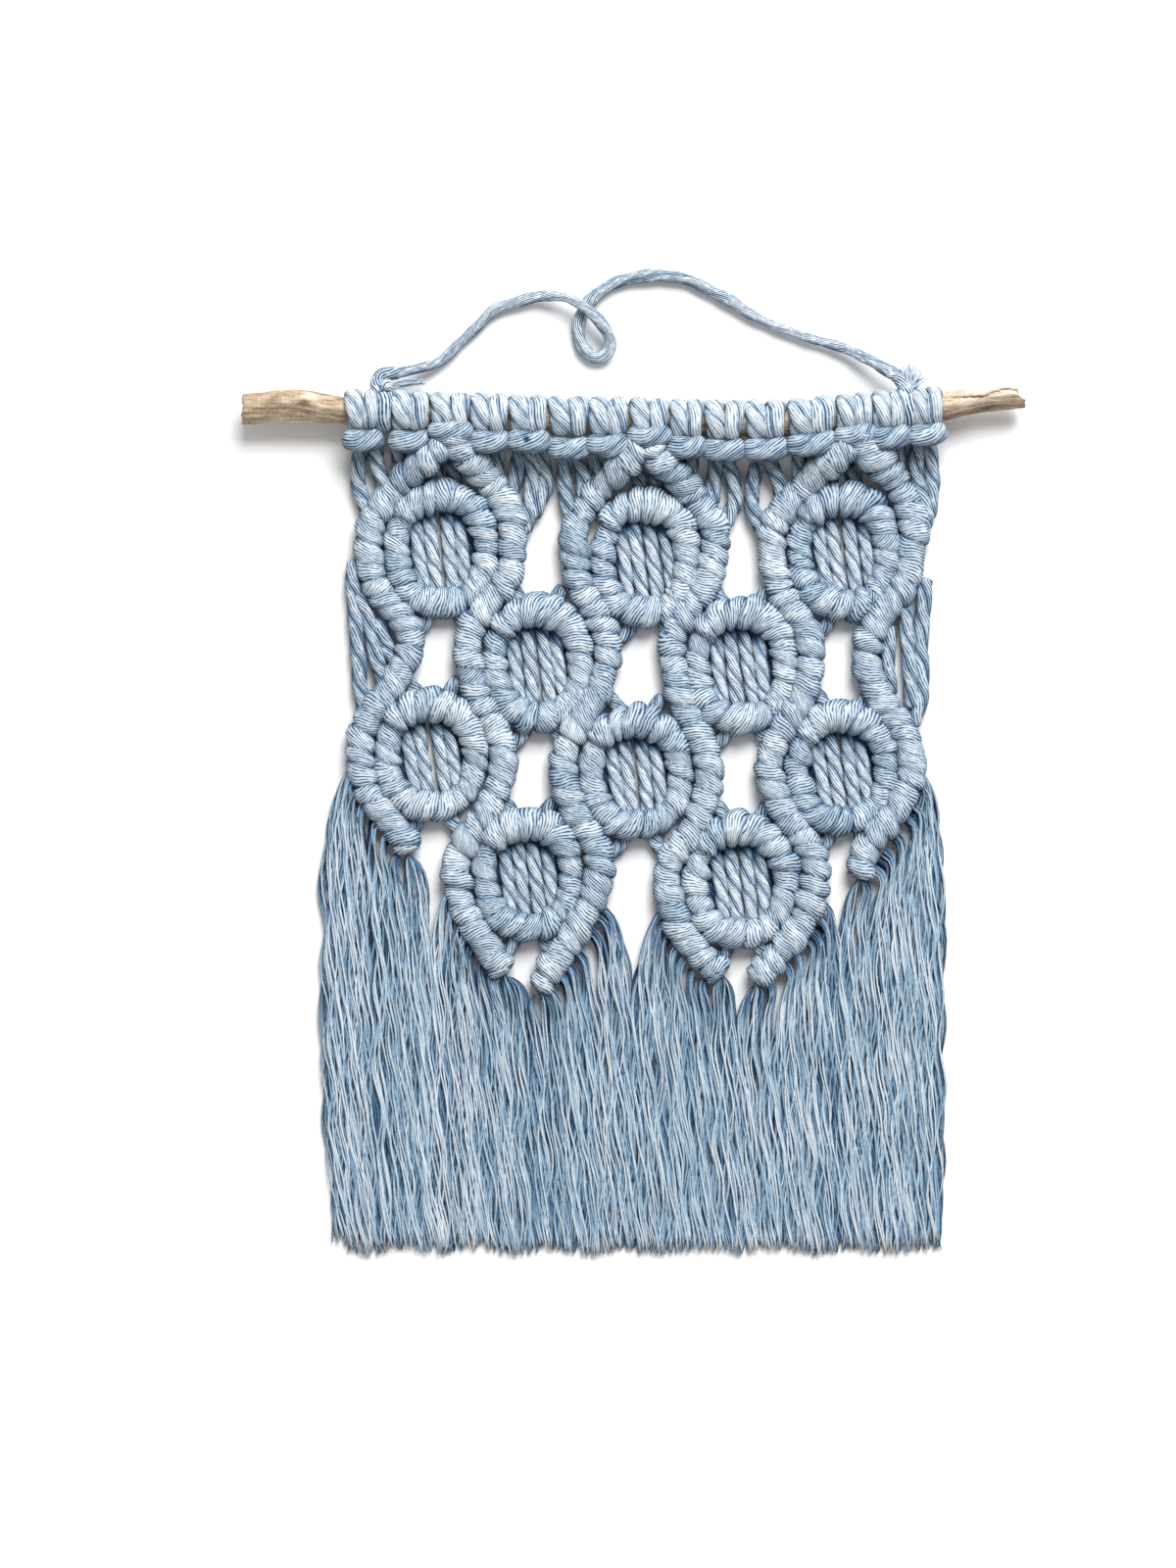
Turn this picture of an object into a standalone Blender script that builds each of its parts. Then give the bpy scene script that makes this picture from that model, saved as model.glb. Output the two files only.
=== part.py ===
"""Macrame wall hanging: pale blue knotted cotton on a driftwood stick, laid out flat.

Sizes are in millimetres, and metres() turns them into Blender's unit. X runs along the
stick, Y runs up the hanging, and Z points at the viewer. The origin is the middle of the
hanging's outline, on the surface that it lies on.
"""
import math
import random

import bmesh
import bpy
import numpy as np

# ---------------------------------------------------------------- driving dimensions, mm
GAP = 0.3                   # clearance between separate pieces
MILLIMETRE = 0.001          # in Blender's unit, the metre
WELD_DISTANCE = 1e-6        # metres within which two vertices become one
SHARP_ANGLE = math.radians(40)      # faces that meet at more than this keep a sharp edge
PATH_SAMPLES = 24           # points worked out between two given ones of a smooth path
LENGTH_SAMPLES = 200        # points over which the length of a path is measured

STICK_AXIS_Z = 8.0          # the stick lies on the cords that wrap it
STICK_STATIONS = 22
STICK_SIDES = 12
STICK_LINE = (              # x, y of the bowed axis, radius
    (-123.1, 126.6, 4.4),
    (-112.0, 127.3, 4.7),
    (-104.2, 127.6, 5.0),
    (-92.1, 126.2, 4.3),
    (-64.2, 124.8, 4.4),
    (-33.2, 123.7, 4.4),
    (-2.2, 122.9, 4.4),
    (34.4, 122.0, 4.4),
    (48.4, 122.3, 4.4),
    (62.9, 123.8, 4.4),
    (97.0, 126.8, 4.4),
    (109.4, 129.2, 4.0),
    (123.7, 130.4, 3.2),
)
SLOPE_SPAN = 8.0            # length over which the slope of the stick is taken
END_CUT_CENTRE = (124.6, 135.2, 8.0)        # block that breaks the upper corner off the right end
END_CUT_SIZE = (8.0, 9.0, 20.0)
END_CUT_TURN = math.radians(-24)

WRAP_RADIUS = 7.9           # outside of the cord that goes over the stick
WRAP_CLEARANCE = 0.12       # room between cord and stick on top of the gap
WRAP_SHOULDER = 0.72        # where a wrap is thickest, as a share of half the knot's width
WRAP_NOTCH = 1.5            # depth of the notch between a knot's two wraps
HEADS = (                   # x, width over the two wraps, drop of the front bar below the axis
    (-85.4, 10.2, 8.7),
    (-70.4, 11.8, 8.5),
    (-57.8, 11.8, 5.2),
    (-45.7, 11.2, 7.9),
    (-33.3, 11.5, 7.4),
    (-20.6, 11.8, 9.1),
    (-8.2, 12.1, 7.9),
    (4.65, 11.5, 4.8),
    (16.4, 10.2, 7.9),
    (28.2, 11.8, 8.5),
    (41.2, 12.4, 8.2),
    (55.6, 14.3, 7.6),
    (69.1, 10.9, 6.2),
    (80.0, 10.2, 7.8),
    (92.2, 8.4, 7.9),
)
HEAD_SIDES = 8
HEAD_BAR_RADIUS = 3.3
HEAD_BAR_REACH = 8.3        # from the stick's axis to the middle of the front bar
HEAD_BAR_RISE = 1.0         # least height of the front bar's middle over the stick's axis
HEAD_BAR_INSET = 0.6        # how much shorter than the wraps the front bar is at each end
HEAD_BAR_STATIONS = (-1.0, -0.6, 0.6, 1.0)
HEAD_BAR_SIZES = (0.62, 1.0, 1.0, 0.62)     # share of full size at each station

RIDGE_PITCH = 7.2           # one ridge of half hitches along a knotted bar
VALLEY = 0.82               # height of the groove between two ridges, as a share
BAR_WIDTH, BAR_CROWN, BAR_HEIGHT = 8.3, 4.4, 7.6
BAR_BASES = (0.0, 0.08)     # neighbouring bars differ a little, so their undersides never coincide
BARS = {                    # centre line of each wavy bar: x, y
    "a": ((-58.8, 118.5), (-74.7, 102.1), (-83.7, 87.0), (-81.5, 71.5), (-70.4, 54.7),
          (-75.6, 40.5), (-85.6, 25.3), (-84.6, 8.2), (-73.5, -7.6), (-71.3, -13.8)),
    "b": ((-56.3, 118.3), (-44.3, 103.7), (-38.1, 88.8), (-40.6, 72.7), (-52.1, 56.0), (-50.2, 37.7),
          (-41.2, 19.1), (-45.3, 1.7), (-55.8, -15.0), (-54.6, -29.0), (-48.0, -41.1), (-40.9, -51.9)),
    "c": ((2.4, 116.8), (-12.7, 100.3), (-18.9, 85.7), (-17.1, 71.5), (-8.7, 54.7), (-10.8, 38.3),
          (-21.4, 20.0), (-20.5, 4.5), (-11.5, -13.5), (-13.0, -27.4), (-20.8, -41.4), (-30.4, -56.9)),
    "d": ((6.4, 116.3), (19.5, 100.0), (25.4, 87.3), (23.2, 72.7), (10.8, 54.7), (13.9, 36.1),
          (22.9, 17.5), (21.4, -0.2), (10.8, -18.1), (13.3, -34.6), (20.1, -44.5), (27.9, -52.5)),
    "e": ((67.3, 118.0), (49.9, 99.4), (42.8, 85.7), (45.6, 69.9), (55.5, 53.2), (53.0, 36.1),
          (43.1, 17.5), (45.9, 2.6), (56.4, -15.0), (54.2, -33.6), (45.9, -45.1), (38.1, -54.4)),
    "f": ((70.9, 118.6), (83.7, 102.5), (88.3, 88.8), (85.6, 72.1), (73.5, 53.2), (76.6, 37.4),
          (87.1, 20.0), (85.2, 4.8), (73.8, -11.3), (71.0, -21.9)),
}

RING_RIDGES = 13
RING_WIDTH, RING_CROWN, RING_HEIGHT = 9.0, 4.8, 7.8
RING_BASE = 0.3
RINGS = (                   # x, y, half width and half height of the ring's centre line
    (-60.9, 82.2, 14.3, 17.0),
    (3.3, 79.4, 13.3, 17.0),
    (66.0, 81.5, 13.8, 16.7),
    (-30.5, 46.2, 13.2, 16.6),
    (33.8, 45.6, 14.0, 16.9),
    (-64.0, 17.2, 13.6, 16.1),
    (0.6, 11.6, 14.1, 16.4),
    (65.7, 13.0, 14.0, 16.6),
    (-33.6, -20.5, 13.8, 16.3),
    (33.6, -22.5, 14.3, 16.4),
)
RING_CORDS = 4              # filler cords that cross each ring's hole
RING_CORD_SPACING = 4.7
RING_CORD_LEAN = 1.6        # the cords lean this far to the right on their way down

STRAND_WIDTH, STRAND_CROWN, STRAND_HEIGHT, STRAND_BASE = 4.3, 2.6, 3.7, 0.8
STRANDS = (                 # free stretches of cord: x, y at the top, x, y at the foot, bow to the right
    (-86.9, 121.9, -85.4, 91.0, -0.8),
    (-82.6, 121.7, -79.0, 103.0, 0.0),
    (-73.8, 121.3, -73.2, 103.0, 0.0),
    (-43.1, 120.1, -43.7, 104.0, 0.0),
    (-35.6, 119.8, -39.0, 97.0, 0.3),
    (-31.0, 119.6, -31.6, 61.0, 1.0),
    (-23.2, 119.4, -19.3, 90.0, -0.8),
    (-17.2, 119.3, -15.2, 97.0, 0.4),
    (-10.8, 119.1, -10.8, 102.0, 0.0),
    (18.0, 118.4, 18.0, 100.0, 0.0),
    (25.4, 118.2, 24.6, 92.0, -0.4),
    (30.4, 118.1, 31.0, 60.0, 0.6),
    (38.1, 118.1, 38.6, 58.0, -0.8),
    (43.9, 118.2, 47.0, 97.0, 0.4),
    (52.1, 118.8, 52.1, 101.0, 0.0),
    (82.4, 121.7, 82.6, 103.0, 0.0),
    (90.4, 122.1, 89.8, 91.0, 0.6),
    (94.1, 122.5, 88.9, 84.0, 2.6),
    (-86.8, 80.0, -85.6, 27.0, -3.4),
    (-84.2, 72.0, -79.5, 33.0, -0.6),
    (-79.6, 66.0, -74.6, 42.0, 0.4),
    (91.0, 81.0, 89.0, 24.0, 1.4),
    (86.4, 72.0, 86.6, 26.0, 0.9),
    (81.2, 66.0, 80.4, 34.0, 0.4),
)
BASE_STEP = 0.3             # neighbouring cords lie a little higher or lower in turn
LARGE_BOW = 1.0             # a cord with this bow or more gets one more station

LOCKS = 23                  # fringe locks on each backing strip
STRIP_DEPTH, STRIP_HEIGHT = 1.3, 2.4
STRIP_CLEARANCE = 0.15      # room between strip and bar on top of the gap
BAR_SAMPLES = 400           # points of a bar that a strip's distance is measured to
LOCK_SHARE = 0.72           # width of a lock, as a share of the space it has
LOCK_STATIONS = (0.0, 0.12, 0.45, 1.0)
LOCK_HEIGHTS = (STRIP_HEIGHT, 2.5, 2.4, 1.3)
LOCK_SPREAD = 4             # how early a lock reaches its place in the combed row
LOCK_WAVE, LOCK_WAVES = 0.9, 0.9            # depth of a lock's wave, and waves along it
FRINGE_END_Y = -139.6
FRINGE_END_JITTER = 1.0
FRINGE_SEED = 7
ROOTS = {                   # line of the roots along each lower diagonal: x, y
    "a": ((-91.5, 12.9), (-84.6, -5.7), (-79.0, -15.0), (-67.3, -17.8)),
    "b": ((-62.0, -25.3), (-56.4, -43.9), (-48.0, -53.8), (-38.8, -57.5)),
    "c": ((-31.9, -62.5), (-23.9, -56.3), (-17.1, -48.2), (-11.8, -41.7), (-6.5, -31.5)),
    "d": ((4.7, -31.5), (8.4, -40.8), (12.7, -47.0), (18.3, -55.0), (28.8, -58.5)),
    "e": ((35.6, -60.2), (44.3, -54.7), (52.7, -46.7), (57.4, -40.1), (62.3, -29.0)),
    "f": ((66.7, -26.0), (78.4, -21.5), (84.9, -12.9), (89.6, -5.7), (92.7, 7.6)),
}
FRINGE_ENDS = {             # x of the combed ends: left, right
    "a": (-97.5, -65.6),
    "b": (-63.9, -33.4),
    "c": (-31.6, -1.6),
    "d": (0.4, 31.0),
    "e": (32.6, 64.6),
    "f": (66.2, 96.0),
}

CORD_RADIUS = 1.95
CORD_PLIES, CORD_SIDES = 3, 9
CORD_TURN = 46.0            # length of one turn of the three plies
CORD_LOBE = 0.16            # depth of the groove between two plies, as a share of the radius
CORD_STEPS = 44
CORD_PATH = (               # x, y, z of the hanging cord, from the left tie to the right one
    (-76.0, 137.2, 6.5),
    (-71.6, 138.4, 5.2),
    (-66.7, 139.7, 3.8),
    (-61.1, 141.8, 2.6),
    (-54.9, 147.7, 2.1),
    (-49.3, 153.0, 2.1),
    (-44.3, 157.9, 2.1),
    (-36.6, 160.6, 2.3),
    (-29.4, 162.2, 3.3),
    (-21.7, 161.6, 5.2),
    (-15.8, 158.4, 6.4),
    (-10.8, 153.9, 5.6),
    (-7.6, 148.6, 3.8),
    (-8.6, 144.2, 2.4),
    (-12.6, 143.2, 2.1),
    (-16.4, 146.6, 2.1),
    (-17.7, 152.0, 2.1),
    (-16.4, 157.0, 2.1),
    (-12.6, 162.2, 2.1),
    (-5.9, 166.6, 2.1),
    (4.0, 168.8, 2.1),
    (16.4, 167.6, 2.1),
    (28.8, 161.7, 2.1),
    (38.8, 155.5, 2.1),
    (53.6, 149.6, 2.3),
    (66.0, 145.9, 3.2),
    (72.8, 142.6, 4.6),
    (77.6, 139.8, 6.2),
    (82.2, 137.0, 7.4),
)

TIE_TUBE = 1.1
TIE_CLEARANCE = 0.45        # room between loop and stick on top of the gap
TIE_LOOP_SIDES = (12, 6)    # round the stick, round the cord
TIE_KNOT = (2.6, 2.0, 2.4)
TIE_KNOT_SIDES = (8, 6)
TIES = {                    # x of the loop round the stick, knot centre, points of each loose tail
    "tie_left": (-78.5, (-79.0, 135.6, 7.2), (((-76.4, 134.9, 3.4), (-67.0, 135.0, 1.2)),)),
    "tie_right": (86.55, (85.6, 136.8, 7.6),
                  (((84.2, 140.6, 4.6),), ((86.9, 141.2, 5.0),), ((89.4, 140.8, 5.2),),
                   ((91.4, 139.4, 5.6),))),
}
TAIL_RADIUS, TAIL_TAPER = 0.85, 0.7

COTTON_ROUGHNESS, WOOD_ROUGHNESS = 0.95, 0.85
BLUE = (0.36, 0.47, 0.55)
PALE_BLUE = (0.42, 0.54, 0.62)
CREAM_BLUE = (0.52, 0.60, 0.65)
DRIFTWOOD = (0.37, 0.29, 0.22)


# ---------------------------------------------------------------- scene and materials
def clear_scene():
    """Remove every object that the file starts with."""
    for item in list(bpy.data.objects):
        bpy.data.objects.remove(item)


def new_collection(name, hidden=False):
    """Make a collection in the scene, hidden from renders for guides and cutters."""
    group = bpy.data.collections.new(name)
    group.hide_render = hidden
    bpy.context.scene.collection.children.link(group)
    return group


def material(name, colour, roughness):
    """Make a Principled material of one plain colour."""
    finish = bpy.data.materials.new(name)
    finish.use_nodes = True
    shader = finish.node_tree.nodes["Principled BSDF"]
    shader.inputs["Base Color"].default_value = (*colour, 1.0)
    shader.inputs["Roughness"].default_value = roughness
    shader.inputs["Metallic"].default_value = 0.0
    return finish


def metres(values):
    """Turn millimetres into metres, for a number or an array."""
    return np.asarray(values, dtype=float) * MILLIMETRE


def add_object(name, mesh, group):
    """Put a mesh in the scene as an object of this name."""
    item = bpy.data.objects.new(name, mesh)
    group.objects.link(item)
    return item


def finish_part(item, name, finish, group):
    """Give a finished solid its name, its material and its place in the hanging."""
    for owner in list(item.users_collection):
        owner.objects.unlink(item)
    group.objects.link(item)
    item.name = name
    item.data.name = name
    item.data.materials.clear()
    item.data.materials.append(finish)
    item.data.shade_smooth()
    item.data.set_sharp_from_angle(angle=SHARP_ANGLE)
    return item


# ---------------------------------------------------------------- curves and tubes
def smooth_path(points, count, closed=False):
    """Place count points at even steps along a smooth curve through the given ones."""
    knots = np.array(points, dtype=float)
    if closed:
        padded = np.vstack([knots[-1], knots, knots[0], knots[1]])
    else:
        padded = np.vstack([2 * knots[0] - knots[1], knots, 2 * knots[-1] - knots[-2]])
    share = np.linspace(0.0, 1.0, PATH_SAMPLES, endpoint=False)[:, None]
    pieces = []
    for before, start, end, after in zip(padded, padded[1:], padded[2:], padded[3:]):
        pieces.append(0.5 * (2 * start + (end - before) * share
                             + (2 * before - 5 * start + 4 * end - after) * share ** 2
                             + (3 * start - before - 3 * end + after) * share ** 3))
    dense = np.vstack(pieces + [padded[-2][None, :]])
    reach = np.concatenate([[0.0], np.cumsum(np.linalg.norm(np.diff(dense, axis=0), axis=1))])
    steps = np.linspace(0.0, reach[-1], count, endpoint=not closed)
    return np.stack([np.interp(steps, reach, dense[:, axis]) for axis in range(dense.shape[1])], axis=1)


def path_length(points):
    """Length of a smooth curve through the points."""
    steps = np.diff(smooth_path(points, LENGTH_SAMPLES), axis=0)
    return float(np.sum(np.linalg.norm(steps, axis=1)))


def poly_curve(name, points, radii, guides, cyclic=False, tilts=None):
    """Make a curve object of straight pieces, with a radius and a tilt at each point."""
    curve = bpy.data.curves.new(name, "CURVE")
    curve.dimensions = "3D"
    curve.twist_mode = "Z_UP"
    curve.use_fill_caps = not cyclic
    spline = curve.splines.new("POLY")
    spline.points.add(len(points) - 1)
    spline.use_cyclic_u = cyclic
    for index, point in enumerate(metres(points)):
        spline.points[index].co = (*point, 1.0)
        spline.points[index].radius = float(radii[index])
        spline.points[index].tilt = 0.0 if tilts is None else float(tilts[index])
    item = bpy.data.objects.new(name, curve)
    guides.objects.link(item)
    return item


def section_curve(name, outline, guides):
    """Make the flat closed outline that a curve carries along itself."""
    curve = bpy.data.curves.new(name, "CURVE")
    curve.dimensions = "2D"
    spline = curve.splines.new("POLY")
    spline.points.add(len(outline) - 1)
    spline.use_cyclic_u = True
    for index, (across, up) in enumerate(metres(outline)):
        spline.points[index].co = (across, up, 0.0, 1.0)
    item = bpy.data.objects.new(name, curve)
    item.hide_render = True
    item.display_type = "WIRE"
    guides.objects.link(item)
    return item


def curve_to_solid(item, group):
    """Replace a curve object by a mesh object with its end caps welded on."""
    bpy.context.view_layer.update()
    evaluated = item.evaluated_get(bpy.context.evaluated_depsgraph_get())
    mesh = bpy.data.meshes.new_from_object(evaluated)
    shape = bmesh.new()
    shape.from_mesh(mesh)
    bmesh.ops.remove_doubles(shape, verts=shape.verts, dist=WELD_DISTANCE)
    bmesh.ops.recalc_face_normals(shape, faces=shape.faces)
    shape.to_mesh(mesh)
    shape.free()
    solid = add_object(item.name, mesh, group)
    solid.matrix_world = item.matrix_world
    bpy.data.objects.remove(item)
    return solid


def carried_section(name, points, radii, section, group, guides, cyclic=False):
    """Carry a flat-bottomed section along a path, with its size set at each point."""
    item = poly_curve(name, points, radii, guides, cyclic=cyclic)
    item.data.bevel_mode = "OBJECT"
    item.data.bevel_object = section
    return curve_to_solid(item, group)


def round_tube(name, points, radii, resolution, group, guides):
    """Make a round tube along a path, with its radius in millimetres at each point."""
    item = poly_curve(name, points, radii, guides)
    item.data.bevel_depth = MILLIMETRE
    item.data.bevel_resolution = resolution
    return curve_to_solid(item, group)


def trapezoid(width, crown, height):
    """Section of a bar or cord that lies flat: wide below, narrower on top."""
    return ((-width / 2, 0.0), (-crown / 2, height), (crown / 2, height), (width / 2, 0.0))


def with_height(points, height):
    """Add one height to a list of flat points."""
    flat = np.array(points, dtype=float)
    return np.column_stack([flat, np.full(len(flat), height)])


def unite(target, pieces):
    """Fuse the pieces into the target with one Boolean union."""
    modifier = target.modifiers.new("union", "BOOLEAN")
    modifier.operation = "UNION"
    modifier.solver = "EXACT"
    modifier.operand_type = "COLLECTION"
    modifier.collection = pieces
    bpy.context.view_layer.update()
    evaluated = target.evaluated_get(bpy.context.evaluated_depsgraph_get())
    mesh = bpy.data.meshes.new_from_object(evaluated)
    target.modifiers.clear()
    target.data = mesh
    for item in list(pieces.objects):
        bpy.data.objects.remove(item)
    return target


# ---------------------------------------------------------------- the stick
def stick_at(x):
    """Axis height y, slope angle and radius of the stick at x."""
    rows = np.array(STICK_LINE)
    y = np.interp(x, rows[:, 0], rows[:, 1])
    radius = np.interp(x, rows[:, 0], rows[:, 2])
    before, after = np.interp((x - SLOPE_SPAN / 2, x + SLOPE_SPAN / 2), rows[:, 0], rows[:, 1])
    return float(y), math.atan2(after - before, SLOPE_SPAN), float(radius)


def build_stick(group, guides):
    """Bowed driftwood stick with a swollen scar on the left and a broken right end."""
    x = np.linspace(STICK_LINE[0][0], STICK_LINE[-1][0], STICK_STATIONS)
    rows = np.array(STICK_LINE)
    y = np.interp(x, rows[:, 0], rows[:, 1])
    radii = np.interp(x, rows[:, 0], rows[:, 2])
    points = np.column_stack([x, y, np.full(len(x), STICK_AXIS_Z)])
    stick = round_tube("stick", points, radii, STICK_SIDES // 2 - 2, group, guides)

    bpy.ops.mesh.primitive_cube_add(size=1.0, location=metres(END_CUT_CENTRE))
    split = bpy.context.object
    split.scale = metres(END_CUT_SIZE)
    split.rotation_euler.z = END_CUT_TURN
    split.name = "broken_end_cutter"
    split.hide_render = True
    split.display_type = "WIRE"
    cut = stick.modifiers.new("broken_end", "BOOLEAN")
    cut.operation = "DIFFERENCE"
    cut.solver = "EXACT"
    cut.object = split
    for owner in list(split.users_collection):
        owner.objects.unlink(split)
    guides.objects.link(split)
    return finish_part(stick, "stick", material("driftwood", DRIFTWOOD, WOOD_ROUGHNESS), group)


# ---------------------------------------------------------------- the knotted panel
def turned_ring(name, section, sides, group):
    """Turn a closed section of x and radius round the X axis."""
    shape = bmesh.new()
    loop = [shape.verts.new(metres((across, radius, 0.0))) for across, radius in section]
    edges = [shape.edges.new((loop[i], loop[(i + 1) % len(loop)])) for i in range(len(loop))]
    bmesh.ops.spin(shape, geom=loop + edges, cent=(0, 0, 0), axis=(1, 0, 0), dvec=(0, 0, 0),
                   angle=math.tau, steps=sides, use_merge=True, use_duplicate=False)
    bmesh.ops.remove_doubles(shape, verts=shape.verts, dist=WELD_DISTANCE)
    bmesh.ops.recalc_face_normals(shape, faces=shape.faces)
    mesh = bpy.data.meshes.new(name)
    shape.to_mesh(mesh)
    shape.free()
    return add_object(name, mesh, group)


def add_head(index, group, guides):
    """Lark's head knot: two wraps over the stick and a bar across their front."""
    x, width, drop = HEADS[index]
    y, slope, radius = stick_at(x)
    corner = 1.0 / math.cos(math.pi / HEAD_SIDES)
    inner = (radius + GAP + WRAP_CLEARANCE) * corner
    outer = WRAP_RADIUS * corner
    half = width / 2
    shoulder = half * WRAP_SHOULDER
    section = ((-half, inner), (-shoulder, outer), (0.0, outer - WRAP_NOTCH), (shoulder, outer),
               (half, inner))
    wraps = turned_ring(f"head_{index}", section, HEAD_SIDES, group)
    wraps.rotation_euler = (math.pi / HEAD_SIDES, 0.0, slope)
    wraps.location = metres((x, y, STICK_AXIS_Z))

    bar_y = y - drop
    bar_z = STICK_AXIS_Z + math.sqrt(max(HEAD_BAR_REACH ** 2 - drop ** 2, HEAD_BAR_RISE ** 2))
    along = np.array(HEAD_BAR_STATIONS) * (half - HEAD_BAR_INSET)
    line = np.column_stack([x + along, bar_y + along * math.tan(slope)])
    points = with_height(line, bar_z)
    radii = HEAD_BAR_RADIUS * np.array(HEAD_BAR_SIZES)
    round_tube(f"head_bar_{index}", points, radii, 1, group, guides)


def add_bar(name, line, base, group, guides, section):
    """Ridged bar of half hitches along a wavy centre line."""
    ridges = round(path_length(line) / RIDGE_PITCH)
    points = with_height(smooth_path(line, 2 * ridges + 1), base)
    radii = np.where(np.arange(len(points)) % 2 == 1, 1.0, VALLEY)
    return carried_section(name, points, radii, section, group, guides)


def add_ring(index, group, guides, section, cord_section):
    """Ridged ring of half hitches, with the filler cords that cross its hole."""
    x, y, half_width, half_height = RINGS[index]
    count = 2 * RING_RIDGES
    angle = np.arange(count) * math.tau / count
    outline = np.column_stack([x + half_width * np.cos(angle), y + half_height * np.sin(angle)])
    radii = np.where(np.arange(count) % 2 == 1, 1.0, VALLEY)
    carried_section(f"ring_{index}", with_height(outline, RING_BASE), radii, section,
                    group, guides, cyclic=True)

    for cord in range(RING_CORDS):
        across = (cord - (RING_CORDS - 1) / 2) * RING_CORD_SPACING
        reach = half_height * math.sqrt(1.0 - (across / half_width) ** 2)
        lean = RING_CORD_LEAN / 2
        points = ((x + across - lean, y + reach), (x + across + lean, y - reach))
        carried_section(f"ring_{index}_cord_{cord}", with_height(points, STRAND_BASE), (1.0, 1.0),
                        cord_section, group, guides)


def add_strand(index, group, guides, section):
    """Free stretch of cord with a soft bow between its two ends."""
    top_x, top_y, foot_x, foot_y, bow = STRANDS[index]
    share = np.linspace(0.0, 1.0, 3 if abs(bow) < LARGE_BOW else 4)
    points = np.column_stack([top_x + (foot_x - top_x) * share + bow * 4 * share * (1 - share),
                              top_y + (foot_y - top_y) * share])
    if bow == 0.0:
        points = points[[0, -1]]
    base = STRAND_BASE + BASE_STEP * (index % 2)
    carried_section(f"strand_{index}", with_height(points, base), np.ones(len(points)),
                    section, group, guides)


def build_panel(group, guides):
    """Fuse heads, bars, rings and cords into the one piece of knotted cotton."""
    bar_section = section_curve("bar_section", trapezoid(BAR_WIDTH, BAR_CROWN, BAR_HEIGHT), guides)
    ring_section = section_curve("ring_section", trapezoid(RING_WIDTH, RING_CROWN, RING_HEIGHT), guides)
    cord_section = section_curve("cord_section",
                                 trapezoid(STRAND_WIDTH, STRAND_CROWN, STRAND_HEIGHT), guides)
    pieces = new_collection("knots", hidden=True)
    for index in range(len(HEADS)):
        add_head(index, pieces, guides)
    for index in range(len(RINGS)):
        add_ring(index, pieces, guides, ring_section, cord_section)
    for index in range(len(STRANDS)):
        add_strand(index, pieces, guides, cord_section)
    bars = [add_bar(f"bar_{name}", line, BAR_BASES[index % 2], pieces, guides, bar_section)
            for index, (name, line) in enumerate(BARS.items())]
    panel = bars[0]
    pieces.objects.unlink(panel)
    guides.objects.link(panel)
    unite(panel, pieces)
    for section in (bar_section, ring_section, cord_section):
        bpy.data.objects.remove(section)
    return finish_part(panel, "knotted_panel", material("knotted_cotton", PALE_BLUE, COTTON_ROUGHNESS), group)


# ---------------------------------------------------------------- the fringe
def root_line(name):
    """Front and back edge of a backing strip, kept clear of the bar that it follows."""
    front = smooth_path(ROOTS[name], LOCKS)
    bar = smooth_path(BARS[name], BAR_SAMPLES)
    clear = BAR_WIDTH / 2 + GAP + STRIP_CLEARANCE
    offset = front[:, None, :] - bar[None, :, :]
    distance = np.linalg.norm(offset, axis=2)
    nearest = np.argmin(distance, axis=1)
    rows = np.arange(len(front))
    away = offset[rows, nearest] / distance[rows, nearest][:, None]
    push = np.maximum(clear + STRIP_DEPTH - distance[rows, nearest], 0.0)
    front = front + away * push[:, None]
    return front, front - away * STRIP_DEPTH


def lock_paths(name, front, rng):
    """Centre lines of the locks: x and y at each station, from root to combed end."""
    left, right = FRINGE_ENDS[name]
    share = np.array(LOCK_STATIONS)
    order = np.argsort(front[:, 0])
    end_x = np.empty(len(front))
    end_x[order] = np.linspace(left, right, len(front))
    end_y = FRINGE_END_Y + np.array([rng.uniform(0.0, FRINGE_END_JITTER) for _ in front])
    spread = 1.0 - (1.0 - share) ** LOCK_SPREAD
    wave = LOCK_WAVE * np.sin(math.tau * share * LOCK_WAVES) * share
    x = front[:, 0:1] + (end_x - front[:, 0])[:, None] * spread + wave
    y = front[:, 1:2] + (end_y - front[:, 1])[:, None] * share
    return x, y


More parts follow.
